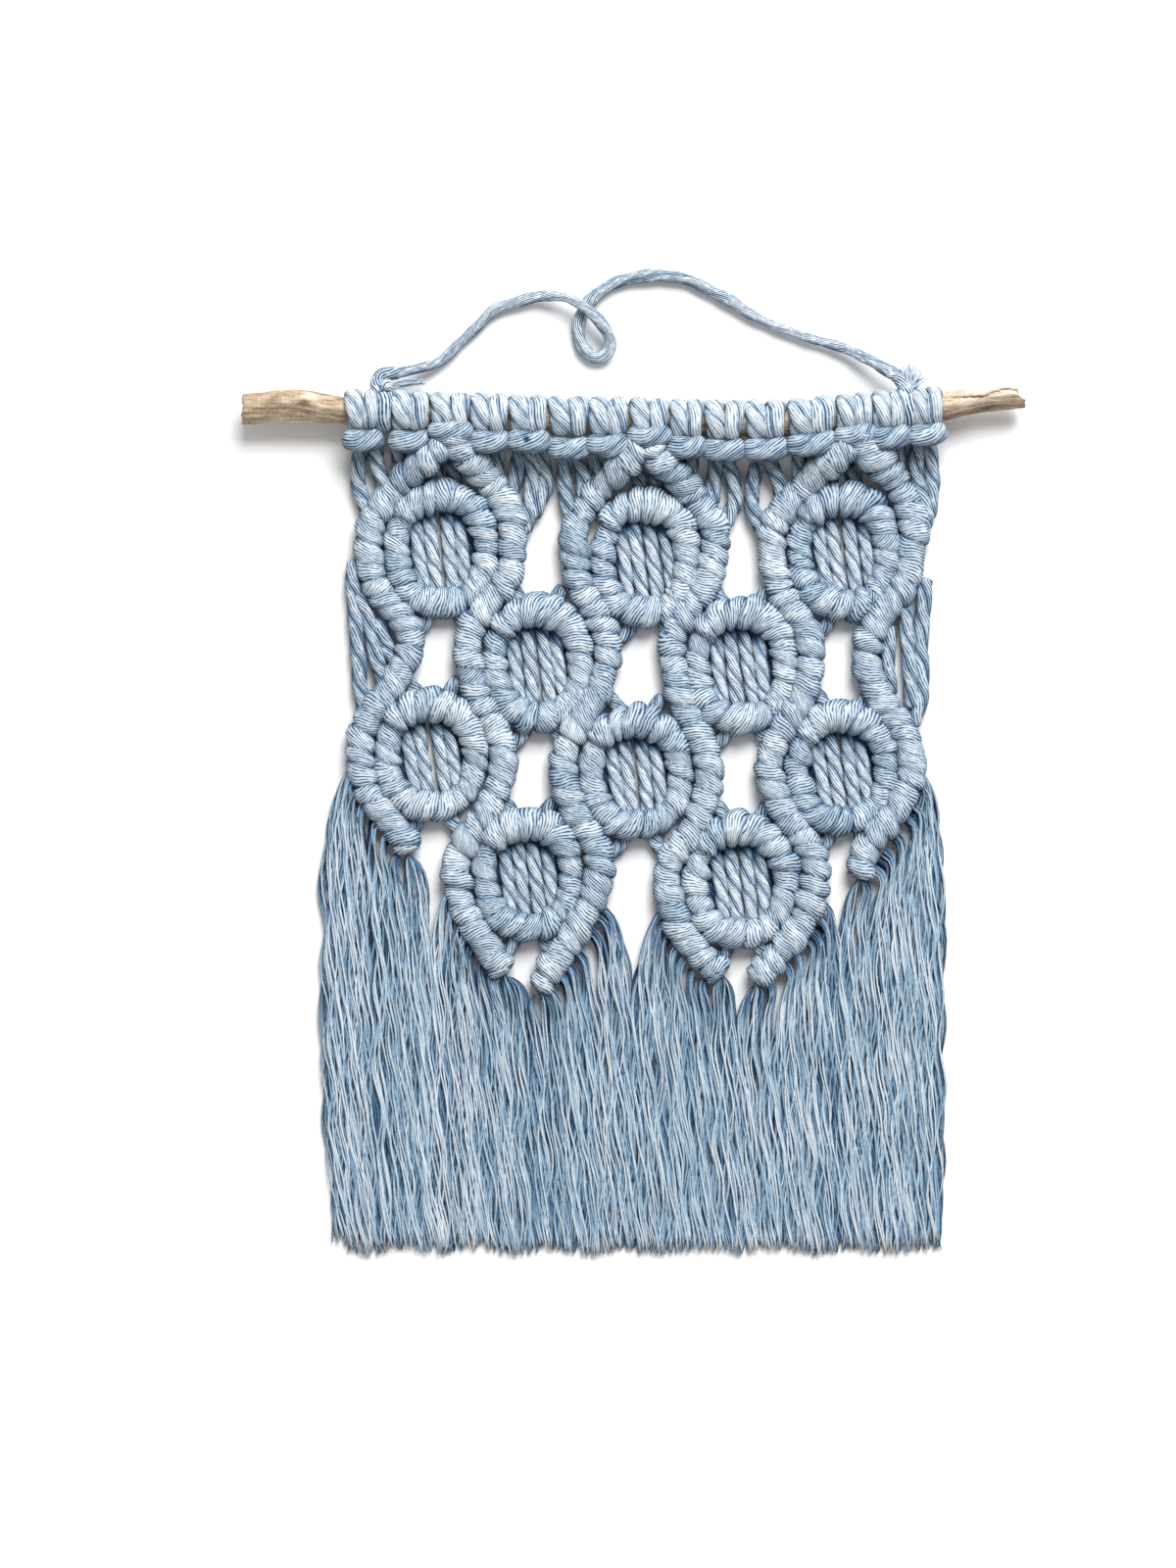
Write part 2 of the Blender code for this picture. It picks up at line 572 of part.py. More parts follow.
def build_fringe(name, group, finish, rng):
    """Comb of three-sided locks that grow out of one narrow backing strip."""
    front, back = root_line(name)
    x, y = lock_paths(name, front, rng)
    shape = bmesh.new()

    def point(px, py, pz):
        return shape.verts.new(metres((px, py, pz)))

    along = np.gradient(front, axis=0)
    space = np.gradient(x, axis=0)
    sections, back_low, back_high = [], [], []
    for lock in range(len(front)):
        half = 0.5 * LOCK_SHARE * along[lock]
        rings = [(point(*(front[lock] - half), 0.0), point(*(front[lock] + half), 0.0),
                  point(*front[lock], STRIP_HEIGHT))]
        for station in range(1, len(LOCK_STATIONS)):
            reach = 0.5 * LOCK_SHARE * space[lock, station]
            px, py = x[lock, station], y[lock, station]
            rings.append((point(px - reach, py, 0.0), point(px + reach, py, 0.0),
                          point(px, py, LOCK_HEIGHTS[station])))
        sections.append(rings)
        back_low.append(point(*back[lock], 0.0))
        back_high.append(point(*back[lock], STRIP_HEIGHT))

    for rings in sections:
        for (low_a, low_b, top), (next_a, next_b, next_top) in zip(rings, rings[1:]):
            shape.faces.new((low_a, low_b, next_b, next_a))
            shape.faces.new((low_b, top, next_top, next_b))
            shape.faces.new((top, low_a, next_a, next_top))
        shape.faces.new(rings[-1])
    for lock in range(len(front)):
        low_a, low_b, _ = sections[lock][0]
        shape.faces.new((low_a, low_b, back_low[lock]))
    for lock in range(len(front) - 1):
        _, low_b, top = sections[lock][0]
        next_a, _, next_top = sections[lock + 1][0]
        shape.faces.new((low_b, next_a, back_low[lock + 1], back_low[lock]))
        shape.faces.new((top, next_top, next_a, low_b))
        shape.faces.new((top, next_top, back_high[lock + 1], back_high[lock]))
        shape.faces.new((back_low[lock], back_low[lock + 1], back_high[lock + 1], back_high[lock]))
    first, last = sections[0][0], sections[-1][0]
    shape.faces.new((first[0], first[2], back_high[0], back_low[0]))
    shape.faces.new((last[1], last[2], back_high[-1], back_low[-1]))
    bmesh.ops.recalc_face_normals(shape, faces=shape.faces)
    mesh = bpy.data.meshes.new(f"fringe_{name}")
    shape.to_mesh(mesh)
    shape.free()
    return finish_part(add_object(mesh.name, mesh, group), mesh.name, finish, group)


# ---------------------------------------------------------------- the hanging cord and its ties
def build_cord(group, guides):
    """Loose hanging cord of three plies, laid on the surface above the stick."""
    points = smooth_path(CORD_PATH, CORD_STEPS)
    angles = np.arange(CORD_SIDES) * math.tau / CORD_SIDES
    radii = CORD_RADIUS * (1.0 - CORD_LOBE * (1.0 - np.cos(CORD_PLIES * angles)) / 2)
    section = section_curve("cord_lobes", np.column_stack([radii * np.cos(angles),
                                                           radii * np.sin(angles)]), guides)
    tilts = np.linspace(0.0, math.tau * path_length(CORD_PATH) / CORD_TURN, CORD_STEPS)
    item = poly_curve("hanging_cord", points, np.ones(CORD_STEPS), guides, tilts=tilts)
    item.data.bevel_mode = "OBJECT"
    item.data.bevel_object = section
    cord = curve_to_solid(item, group)
    bpy.data.objects.remove(section)
    return finish_part(cord, "hanging_cord", material("hanging_cord_cotton", BLUE, COTTON_ROUGHNESS), group)


def build_tie(name, group, guides, finish):
    """Loop of cord round the stick, closed by a small knot with loose tails."""
    x, knot, tails = TIES[name]
    y, slope, radius = stick_at(x)
    pieces = new_collection(f"{name}_pieces", hidden=True)
    major = radius + GAP + TIE_CLEARANCE + TIE_TUBE
    bpy.ops.mesh.primitive_torus_add(major_segments=TIE_LOOP_SIDES[0], minor_segments=TIE_LOOP_SIDES[1],
                                     major_radius=metres(major), minor_radius=metres(TIE_TUBE),
                                     location=metres((x, y, STICK_AXIS_Z)),
                                     rotation=(0.0, math.pi / 2, slope))
    loop = bpy.context.object
    for owner in list(loop.users_collection):
        owner.objects.unlink(loop)
    guides.objects.link(loop)

    ball = bmesh.new()
    bmesh.ops.create_uvsphere(ball, u_segments=TIE_KNOT_SIDES[0], v_segments=TIE_KNOT_SIDES[1], radius=1.0)
    bmesh.ops.scale(ball, vec=metres(TIE_KNOT), verts=ball.verts)
    bmesh.ops.translate(ball, vec=metres(knot), verts=ball.verts)
    mesh = bpy.data.meshes.new(f"{name}_knot")
    ball.to_mesh(mesh)
    ball.free()
    add_object(mesh.name, mesh, pieces)

    crown = (x - major * math.sin(slope), y + major * math.cos(slope), STICK_AXIS_Z)
    round_tube(f"{name}_neck", np.array([crown, knot]), (TIE_TUBE, TIE_TUBE), 1, pieces, guides)
    for index, tail in enumerate(tails):
        points = np.array([knot, *tail])
        radii = np.linspace(TAIL_RADIUS, TAIL_RADIUS * TAIL_TAPER, len(points))
        round_tube(f"{name}_tail_{index}", points, radii, 0, pieces, guides)
    unite(loop, pieces)
    return finish_part(loop, name, finish, group)


# ---------------------------------------------------------------- the whole hanging
def build_hanging():
    """Build every piece of the wall hanging."""
    clear_scene()
    hanging = new_collection("macrame_wall_hanging")
    guides = new_collection("guides", hidden=True)
    rng = random.Random(FRINGE_SEED)
    build_stick(hanging, guides)
    build_panel(hanging, guides)
    combed = material("combed_cotton", CREAM_BLUE, COTTON_ROUGHNESS)
    for name in ROOTS:
        build_fringe(name, hanging, combed, rng)
    build_cord(hanging, guides)
    tie_cotton = material("tie_cotton", BLUE, COTTON_ROUGHNESS)
    for name in TIES:
        build_tie(name, hanging, guides, tie_cotton)


build_hanging()
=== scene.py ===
"""Looks of a macrame wall hanging: pale blue knotted cotton on a driftwood stick, laid out flat.

Sizes are millimetres until weld() turns them into metres. X runs along the stick, Y runs up
the hanging and Z points at the viewer. Every surface is a tube: rows of points along a path,
columns of points round it, worked out as whole arrays.
"""

import logging
import math
from dataclasses import dataclass, replace
from enum import Enum

import bpy
import numpy as np
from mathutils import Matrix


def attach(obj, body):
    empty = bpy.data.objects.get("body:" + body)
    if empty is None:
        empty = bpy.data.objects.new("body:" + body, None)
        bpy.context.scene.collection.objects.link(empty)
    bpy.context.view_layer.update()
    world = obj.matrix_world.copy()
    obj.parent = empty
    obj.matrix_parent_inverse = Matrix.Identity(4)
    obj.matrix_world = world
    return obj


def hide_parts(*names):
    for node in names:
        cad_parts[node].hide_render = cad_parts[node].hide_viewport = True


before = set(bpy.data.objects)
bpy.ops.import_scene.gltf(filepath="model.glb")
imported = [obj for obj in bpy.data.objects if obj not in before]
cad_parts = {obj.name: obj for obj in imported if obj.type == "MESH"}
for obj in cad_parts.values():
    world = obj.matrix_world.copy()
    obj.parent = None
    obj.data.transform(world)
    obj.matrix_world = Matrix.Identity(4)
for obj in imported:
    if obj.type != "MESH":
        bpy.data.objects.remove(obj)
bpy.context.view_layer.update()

log = logging.getLogger("hanging")
Array = np.ndarray
Pair = tuple[float, float]
Triple = tuple[float, float, float]
Colour = Triple
Points = tuple[tuple[float, ...], ...]

METRE = 0.001               # one millimetre in metres
TAU = math.tau
FRONT = np.array([0.0, 0.0, 1.0])
BODY = "root"
LOWEST = 0.05               # how near the surface that it lies on a point may come
SEED = 11                   # start of each piece's own random draws

PHOTO_MIDDLE = (-14.57, 8.215)      # what the middle of the photograph looks at
PHOTO_HEIGHT = 496.0                # how much of the surface the photograph's height covers
CAMERA_HEIGHT = 1700.0


class Slot(Enum):
    """Material slots of the record."""

    WOOD = "driftwood"
    KNOTS = "knotted_cotton"
    COMBED = "combed_cotton"
    CORD = "cord_cotton"


# ---------------------------------------------------------------- paths
DENSE = 24                  # points that each stretch of a smooth curve is first worked out at
FEWEST = 4                  # least points along a smooth curve
LEAST_END = 0.02            # square of the smallest share of full size at a round end


def table_at(at: Array, table: Points) -> Array:
    """Values of a table of places and values at the given places, straight between its rows."""
    return np.interp(at, *zip(*table))


def smooth_path(points: Points | Array, step: float) -> Array:
    """Points at even steps along a smooth curve through the given ones.

    Each stretch is a cubic through its two points, with the slope at a point taken from its
    neighbours (Catmull-Rom), and the dense curve is then read at even lengths.

    Args:
        points: the points that the curve goes through.
        step: wanted distance between two points of the result.

    Returns:
        The points of the curve, one a row.
    """
    knots = np.array(points, dtype=float)
    padded = np.vstack([2 * knots[0] - knots[1], knots, 2 * knots[-1] - knots[-2]])
    share = np.linspace(0.0, 1.0, DENSE, endpoint=False)[None, :, None]
    before, start, end, after = (padded[i:len(padded) - 3 + i, None, :] for i in range(4))
    dense = 0.5 * (2 * start + (end - before) * share
                   + (2 * before - 5 * start + 4 * end - after) * share ** 2
                   + (3 * start - before - 3 * end + after) * share ** 3)
    dense = np.vstack([dense.reshape(-1, knots.shape[1]), knots[-1:]])
    reach = lengths(dense)
    count = max(FEWEST, round(reach[-1] / step) + 1)
    steps = np.linspace(0.0, reach[-1], count)
    return np.stack([np.interp(steps, reach, column) for column in dense.T], axis=1)


def lengths(path: Array) -> Array:
    """Length along the path from its start to each of its points."""
    return np.concatenate([[0.0], np.cumsum(np.linalg.norm(np.diff(path, axis=0), axis=1))])


def unit(vectors: Array) -> Array:
    """The vectors at length one."""
    return vectors / np.maximum(np.linalg.norm(vectors, axis=-1, keepdims=True), 1e-9)


def directions(path: Array, up: Array) -> tuple[Array, Array]:
    """Sideways and outward direction at each point of one path or of a batch of them.

    Sideways is the path's direction crossed with up, and outward is sideways crossed with
    the path's direction.

    Args:
        path: points, with the rows of a path on the last axis but one.
        up: a direction, or one for each point, that outward should be near.

    Returns:
        The sideways and the outward unit vectors.
    """
    along = unit(np.gradient(path, axis=-2))
    side = unit(np.cross(along, np.broadcast_to(up, path.shape)))
    return side, np.cross(side, along)


def rounded_ends(reach: Array, radius: float) -> Array:
    """Share of full size along a tube whose two ends are round: a quarter circle at each end."""
    near = np.clip(np.minimum(reach, reach[-1] - reach) / radius, 0.0, 1.0)
    return np.sqrt(np.maximum(1.0 - (1.0 - near) ** 2, LEAST_END))


def with_height(points: Points | Array, height: float) -> Array:
    """Flat points with one height added."""
    flat = np.array(points, dtype=float)
    return np.column_stack([flat[:, :2], np.full(len(flat), height)])


def lengthened(points: Points, extra: float) -> Array:
    """The points with both ends moved outwards, so that a cord's ends sit inside its knots."""
    line = np.array(points, dtype=float)
    start, end = unit(line[0] - line[1]), unit(line[-1] - line[-2])
    return np.vstack([line[0] + start * extra, line, line[-1] + end * extra])


# ---------------------------------------------------------------- skins and pieces
@dataclass
class Skin:
    """A batch of closed tubes: tubes, rows along each, columns round it.

    points is in millimetres. across and along are lengths over and along the yarn. yarn counts the yarns and
    is whole in the line between two of them. dome is 0 in the groove between two plies or hitches and 1 on
    top of one, and the material paints shade where it is low. tone makes a place lighter or darker, and
    carries both painted shade and real differences.
    """

    points: Array
    across: Array
    along: Array
    yarn: Array | float
    dome: Array | float
    tone: Array | float = 0.0

    def attribute(self, values: Array | float) -> Array:
        """Values at the tubes' points, each tube's followed by those of its two end caps."""
        spread = np.broadcast_to(values, self.points.shape[:3])
        caps = spread[:, [0, -1], 0]
        return np.concatenate([spread.reshape(len(spread), -1), caps], axis=1).ravel()

    def vertices(self) -> Array:
        """Points of the tubes, each tube's followed by the middles of its end caps."""
        caps = self.points[:, [0, -1]].mean(axis=2)
        return np.concatenate([self.points.reshape(len(caps), -1, 3), caps], axis=1).reshape(-1, 3)

    def faces(self, offset: int) -> tuple[Array, Array]:
        """Quads round the tubes and triangles over their ends, with their normals outwards."""
        tubes, rows, columns = self.points.shape[:3]
        stride = rows * columns + 2
        first = offset + np.arange(tubes)[:, None, None] * stride
        here = first + np.arange(rows * columns).reshape(rows, columns)
        there = np.roll(here, -1, axis=2)
        quads = np.stack([here[:, :-1], here[:, 1:], there[:, 1:], there[:, :-1]], axis=-1)
        start = np.broadcast_to(first[:, 0] + stride - 2, (tubes, columns))
        end = start + 1
        caps = np.concatenate([np.stack([start, here[:, 0], there[:, 0]], axis=-1),
                               np.stack([end, there[:, -1], here[:, -1]], axis=-1)])
        return quads.reshape(-1, 4), caps.reshape(-1, 3)


def weld(name: str, skins: list[Skin], finish: bpy.types.Material, slot: Slot,
         *nodes: str) -> bpy.types.Object:
    """Put skins into one mesh piece that rides with the hanging and replaces its nodes.

    Args:
        name: name of the piece.
        skins: the tubes that it is made of.
        finish: its material.
        slot: the record's material slot; not used.
        nodes: the plain solids that it stands for.

    Returns:
        The piece.
    """
    sizes = [skin.points[..., 0].size + 2 * len(skin.points) for skin in skins]
    offsets = np.concatenate([[0], np.cumsum(sizes)])[:-1]
    parts = [skin.faces(int(offset)) for skin, offset in zip(skins, offsets)]
    quads = np.concatenate([part[0] for part in parts])
    caps = np.concatenate([part[1] for part in parts])
    points = np.concatenate([skin.vertices() for skin in skins])
    points[:, 2] = np.maximum(points[:, 2], LOWEST)

    mesh = bpy.data.meshes.new(name)
    mesh.vertices.add(len(points))
    mesh.vertices.foreach_set("co", (points * METRE).astype(np.float32).ravel())
    mesh.loops.add(quads.size + caps.size)
    mesh.loops.foreach_set("vertex_index", np.concatenate([quads.ravel(), caps.ravel()]).astype(np.int32))
    starts = np.concatenate([np.arange(len(quads)) * 4, quads.size + np.arange(len(caps)) * 3])
    mesh.polygons.add(len(starts))
    mesh.polygons.foreach_set("loop_start", starts.astype(np.int32))
    mesh.update(calc_edges=True)

    across, along, yarn, dome, tone = (
        np.concatenate([skin.attribute(getattr(skin, key)) for skin in skins]).astype(np.float32)
        for key in ("across", "along", "yarn", "dome", "tone"))
    fibre = mesh.attributes.new("fibre", "FLOAT_VECTOR", "POINT")
    fibre.data.foreach_set("vector", np.stack([across, along, yarn], axis=1).ravel())
    for key, values in (("dome", dome), ("tone", tone)):
        layer = mesh.attributes.new(key, "FLOAT", "POINT")
        layer.data.foreach_set("value", values)
    mesh.materials.append(finish)
    mesh.shade_smooth()

    piece = bpy.data.objects.new(name, mesh)
    bpy.context.scene.collection.objects.link(piece)
    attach(piece, BODY)
    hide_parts(*nodes)
    log.info("%s: %d triangles", name, 2 * len(quads) + len(caps))
    return piece


# ---------------------------------------------------------------- finishes
def linear(red: float, green: float, blue: float) -> Colour:
    """Turn a screen colour of 0 to 255 into the light that it stands for."""
    shares = np.array([red, green, blue]) / 255.0
    return tuple(np.where(shares <= 0.04045, shares / 12.92, ((shares + 0.055) / 1.055) ** 2.4))


class Graph:
    """A material's node tree, with short ways to add and join nodes."""

    SPECULAR = 0.2
    SHEEN_ROUGHNESS = 0.5

    def __init__(self, name: str, roughness: float, sheen: float = 0.0) -> None:
        """Start a material with a matt surface."""
        self.material = bpy.data.materials.new(name)
        self.material.use_nodes = True
        self.tree = self.material.node_tree
        self.shader = self.tree.nodes["Principled BSDF"]
        for name, value in (("Roughness", roughness), ("Specular IOR Level", self.SPECULAR),
                            ("Sheen Weight", sheen), ("Sheen Roughness", self.SHEEN_ROUGHNESS)):
            self.shader.inputs[name].default_value = value

    def join(self, value: object, socket: bpy.types.NodeSocket) -> None:
        """Link a socket to another, or give it a constant."""
        if isinstance(value, bpy.types.NodeSocket):
            self.tree.links.new(value, socket)
        else:
            socket.default_value = value

    def node(self, kind: str, **values: object) -> bpy.types.Node:
        """Add a node and fill the inputs that values names."""
        made = self.tree.nodes.new(kind)
        for key, value in values.items():
            self.join(value, made.inputs[key])
        return made

    def read(self, name: str, socket: str) -> bpy.types.NodeSocket:
        """One of the piece's own attributes."""
        made = self.node("ShaderNodeAttribute")
        made.attribute_name = name
        return made.outputs[socket]

    def maths(self, operation: str, first: object, second: object = None, third: object = None,
              clamp: bool = False) -> bpy.types.NodeSocket:
        """A sum of numbers, such as ADD, MULTIPLY or MULTIPLY_ADD."""
        made = self.tree.nodes.new("ShaderNodeMath")
        made.operation = operation
        made.use_clamp = clamp
        for index, value in enumerate((first, second, third)):
            if value is not None:
                self.join(value, made.inputs[index])
        return made.outputs["Value"]

    def split(self, vector: bpy.types.NodeSocket) -> list[bpy.types.NodeSocket]:
        """The three numbers of a vector."""
        return list(self.node("ShaderNodeSeparateXYZ", Vector=vector).outputs)

    def merge(self, first: object, second: object, third: object) -> bpy.types.NodeSocket:
        """A vector of three numbers."""
        return self.node("ShaderNodeCombineXYZ", X=first, Y=second, Z=third).outputs["Vector"]

    def lot(self, number: bpy.types.NodeSocket) -> bpy.types.NodeSocket:
        """A random number of 0 to 1 for each whole number."""
        made = self.tree.nodes.new("ShaderNodeTexWhiteNoise")
        made.noise_dimensions = "1D"
        self.join(number, made.inputs["W"])
        return made.outputs["Value"]

    def noise(self, where: bpy.types.NodeSocket, stretch: Triple, detail: float,
              roughness: float = 0.6) -> bpy.types.NodeSocket:
        """Noise of 0 to 1, finer where stretch is larger."""
        scaled = self.tree.nodes.new("ShaderNodeVectorMath")
        scaled.operation = "MULTIPLY"
        self.join(where, scaled.inputs[0])
        self.join(stretch, scaled.inputs[1])
        made = self.node("ShaderNodeTexNoise", Vector=scaled.outputs[0], Scale=1.0, Detail=detail,
                         Roughness=roughness)
        return made.outputs["Fac"]

    def ramp(self, value: bpy.types.NodeSocket, places: tuple[float, ...],
             colours: tuple[Colour, ...]) -> bpy.types.NodeSocket:
        """Colour that changes through the colours as value grows past their places."""
        made = self.node("ShaderNodeValToRGB", Fac=value)
        elements = made.color_ramp.elements
        while len(elements) < len(places):
            elements.new(1.0)
        for element, place, colour in zip(elements, places, colours):
            element.position = place
            element.color = (*colour, 1.0)
        return made.outputs["Color"]

    def bump(self, height: bpy.types.NodeSocket, strength: float, distance: float) -> None:
        """Raise the surface by height times distance, in millimetres."""
        made = self.node("ShaderNodeBump", Strength=strength, Distance=distance * METRE, Height=height)
        self.tree.links.new(made.outputs["Normal"], self.shader.inputs["Normal"])


@dataclass(frozen=True)
class Cotton:
    """Matt cotton yarn: pale fibres on each yarn, thin dark blue lines of painted shade between the yarns,
    and painted shade in the grooves between plies or hitches.
    """

    name: str
    # the darkest colours are reached mostly where painted shade lowers the tone
    deep: Colour = linear(22, 47, 78)
    shade: Colour = linear(83, 115, 142)
    middle: Colour = linear(153, 172, 187)
    pale: Colour = linear(206, 213, 218)
    bright: Colour = linear(233, 236, 238)
    places: tuple[float, ...] = (0.0, 0.28, 0.54, 0.78, 1.0)    # tones of the five colours
    level: float = 0.76             # tone of a plain place
    groove_shade: float = 0.92      # painted shade: how much darker the groove between plies or hitches is
    groove_power: float = 1.5
    line_shade: float = 1.05        # painted shade: how much darker the line between two yarns is
    crest_power: float = 0.8
    broken: Pair = (2.8, -0.75)     # gain and offset of the noise that breaks the lines
    breaks: Triple = (0.4, 1.0, 1.0)        # cells of noise a millimetre along a line
    streak_share: float = 0.28
    streaks: Triple = (2.4, 0.4, 1.0)       # cells of noise a millimetre across and along a yarn
    hair_share: float = 0.36
    hairs: Triple = (7.0, 1.1, 1.0)
    yarn_share: float = 0.1         # how much one yarn differs from the next
    yarn_apart: float = 5.3         # how far apart two yarns lie in the noise
    line_apart: float = 7.7
    patch_share: float = 0.16
    patches: Triple = (60.0, 60.0, 60.0)    # cells of noise a metre over the piece
    relief: Pair = (0.4, 0.5)       # shares of the hairs and of the yarns in the bump
    bump: Pair = (0.8, 0.25)        # strength and depth

    def material(self) -> bpy.types.Material:
        """Make the material.

        The crest of a yarn is the size of the sine of half a turn for each yarn, to a low power. The tone is
        the plain level, less painted shade in the groove, less painted shade in the line between two yarns
        where noise along the line lets it show, plus streaks, hairs, patches and the yarn's own lot, and the
        tone picks the colour.

        Returns:
            The material.
        """
        graph = Graph(self.name, roughness=0.92, sheen=0.15)
        across, along, yarn = graph.split(graph.read("fibre", "Vector"))
        number = graph.maths("FLOOR", yarn)
        wave = graph.maths("SINE", graph.maths("MULTIPLY", yarn, math.pi))
        crest = graph.maths("POWER", graph.maths("ABSOLUTE", wave), self.crest_power)
        fibre = graph.merge(across, along, graph.maths("MULTIPLY", number, self.yarn_apart))
        streak = graph.noise(fibre, self.streaks, detail=2.0)
        hair = graph.noise(fibre, self.hairs, detail=2.0)
        place = graph.node("ShaderNodeTexCoord").outputs["Object"]
        patch = graph.noise(place, self.patches, detail=2.0)

        # painted shade in the lines between yarns, broken by noise along them
        line = graph.maths("MULTIPLY", graph.maths("ROUND", yarn), self.line_apart)
        broken = graph.noise(graph.merge(along, line, 0.0), self.breaks, detail=1.0)
        broken = graph.maths("MULTIPLY_ADD", broken, *self.broken, clamp=True)
        valley = graph.maths("MULTIPLY", graph.maths("SUBTRACT", 1.0, crest), broken)
        # painted shade in the grooves between plies or hitches, where dome is low
        groove = graph.maths("SUBTRACT", 1.0, graph.read("dome", "Fac"), clamp=True)
        groove = graph.maths("POWER", groove, self.groove_power)

        tone = graph.maths("ADD", graph.read("tone", "Fac"), self.level)
        tone = graph.maths("MULTIPLY_ADD", groove, -self.groove_shade, tone)
        tone = graph.maths("MULTIPLY_ADD", valley, -self.line_shade, tone)
        for part, share in ((streak, self.streak_share), (hair, self.hair_share),
                            (patch, self.patch_share), (graph.lot(number), self.yarn_share)):
            tone = graph.maths("MULTIPLY_ADD", graph.maths("SUBTRACT", part, 0.5), share, tone)
        colour = graph.ramp(tone, self.places, (self.deep, self.shade, self.middle, self.pale, self.bright))
        graph.join(colour, graph.shader.inputs["Base Color"])
        height = graph.maths("MULTIPLY_ADD", crest, self.relief[1], streak)
        graph.bump(graph.maths("MULTIPLY_ADD", hair, self.relief[0], height), *self.bump)
        return graph.material


@dataclass(frozen=True)
class DryWood:
    """Weathered wood: long grain, dark cracks and paler wood towards the broken end."""

    name: str
    crack: Colour = linear(84, 64, 48)
    dark: Colour = linear(140, 121, 100)
    middle: Colour = linear(182, 161, 136)
    pale: Colour = linear(208, 196, 179)
    bleached: Colour = linear(232, 226, 217)
    places: tuple[float, ...] = (0.0, 0.28, 0.52, 0.75, 1.0)    # tones of the five colours
    grain_share: float = 1.2
    grains: Triple = (1.5, 0.17, 0.0)       # cells of noise a millimetre round and along the stick
    blotch_share: float = 0.8
    blotches: Triple = (0.45, 0.12, 0.0)
    speck_share: float = 0.9
    specks: Triple = (3.5, 1.2, 0.0)
    speck_relief: float = 0.4       # share of the specks in the bump, beside the grain
    bump: Pair = (0.7, 0.35)        # strength and depth

    def material(self) -> bpy.types.Material:
        """Make the material from three noises along the wood and the tone attribute.

        Returns:
            The material.
        """
        graph = Graph(self.name, roughness=0.8)
        fibre = graph.read("fibre", "Vector")
        grain = graph.noise(fibre, self.grains, detail=5.0, roughness=0.65)
        blotch = graph.noise(fibre, self.blotches, detail=3.0)
        speck = graph.noise(fibre, self.specks, detail=3.0, roughness=0.7)
        tone = graph.read("tone", "Fac")
        for part, share in ((grain, self.grain_share), (blotch, self.blotch_share),
                            (speck, self.speck_share)):
            tone = graph.maths("MULTIPLY_ADD", graph.maths("SUBTRACT", part, 0.5), share, tone)
        colour = graph.ramp(tone, self.places, (self.crack, self.dark, self.middle, self.pale, self.bleached))
        graph.join(colour, graph.shader.inputs["Base Color"])
        graph.bump(graph.maths("MULTIPLY_ADD", speck, self.speck_relief, grain), *self.bump)
        return graph.material


# ---------------------------------------------------------------- cords and hitches
YARN_CREST = 0.7            # power of a yarn's half sine wave: the lower, the rounder
YARN_NUMBERS = 500          # a cord's yarns are counted from a random number below this
PATTERN_START = 300.0       # its pattern of fibres starts at a random length below this
SIDE_SHADE = -0.46          # painted shade: tone at the side of a cord or bar


@dataclass(frozen=True)
class Lay:
    """How a cord is laid up: its size, its plies and its yarns."""

    width: float = 5.0
    height: float = 4.4
    plies: int = 3
    ply_depth: float = 0.22         # depth of the groove between two plies, as a share of the size
    ply_power: float = 0.8
    dark_depth: float = 0.2         # depth of groove from which its painted shade is at its darkest
    yarns: int = 15
    yarn_depth: float = 0.26
    mean_crest: float = 0.6
    stand: float = 0.22             # how much higher one yarn stands than another
    turn: float = 31.0              # length of one full twist
    drift: Pair = (0.16, 11.0)      # how far the twist runs ahead, in radians, and over what length
    sides: int = 38
    step: float = 1.0


FREE_LAY = Lay()
HOLE_LAY = Lay(width=4.6, height=3.9, turn=21.0, sides=36)
# low dark cords at a hole's sides, which stand in for painted shade
BACK_LAY = Lay(width=3.6, height=1.6, ply_depth=0.1, yarns=9, turn=24.0, sides=14, step=2.0)
WRAP_LAY = Lay(height=4.2, ply_depth=0.24, yarns=19, yarn_depth=0.14, sides=40, step=0.9)
FRONT_LAY = Lay(width=7.4, height=5.8, ply_depth=0.13, yarns=21, yarn_depth=0.32, turn=36.0,
                sides=48, step=0.8)
STUB_LAY = Lay(width=4.8, height=3.4, ply_depth=0.16, yarns=12, turn=20.0, sides=24)


def yarn_crest(yarn: Array) -> Array:
    """Height over the yarns: half a sine wave for each, to a low power, 0 between two of them."""
    return np.abs(np.sin(math.pi * yarn)) ** YARN_CREST


def shaded_sides(angle: Array) -> Array:
    """Painted shade round a cord or bar: 0 on top, darker down its sides by the square of the fall."""
    return SIDE_SHADE * (1.0 - np.maximum(np.sin(angle), 0.0)) ** 2


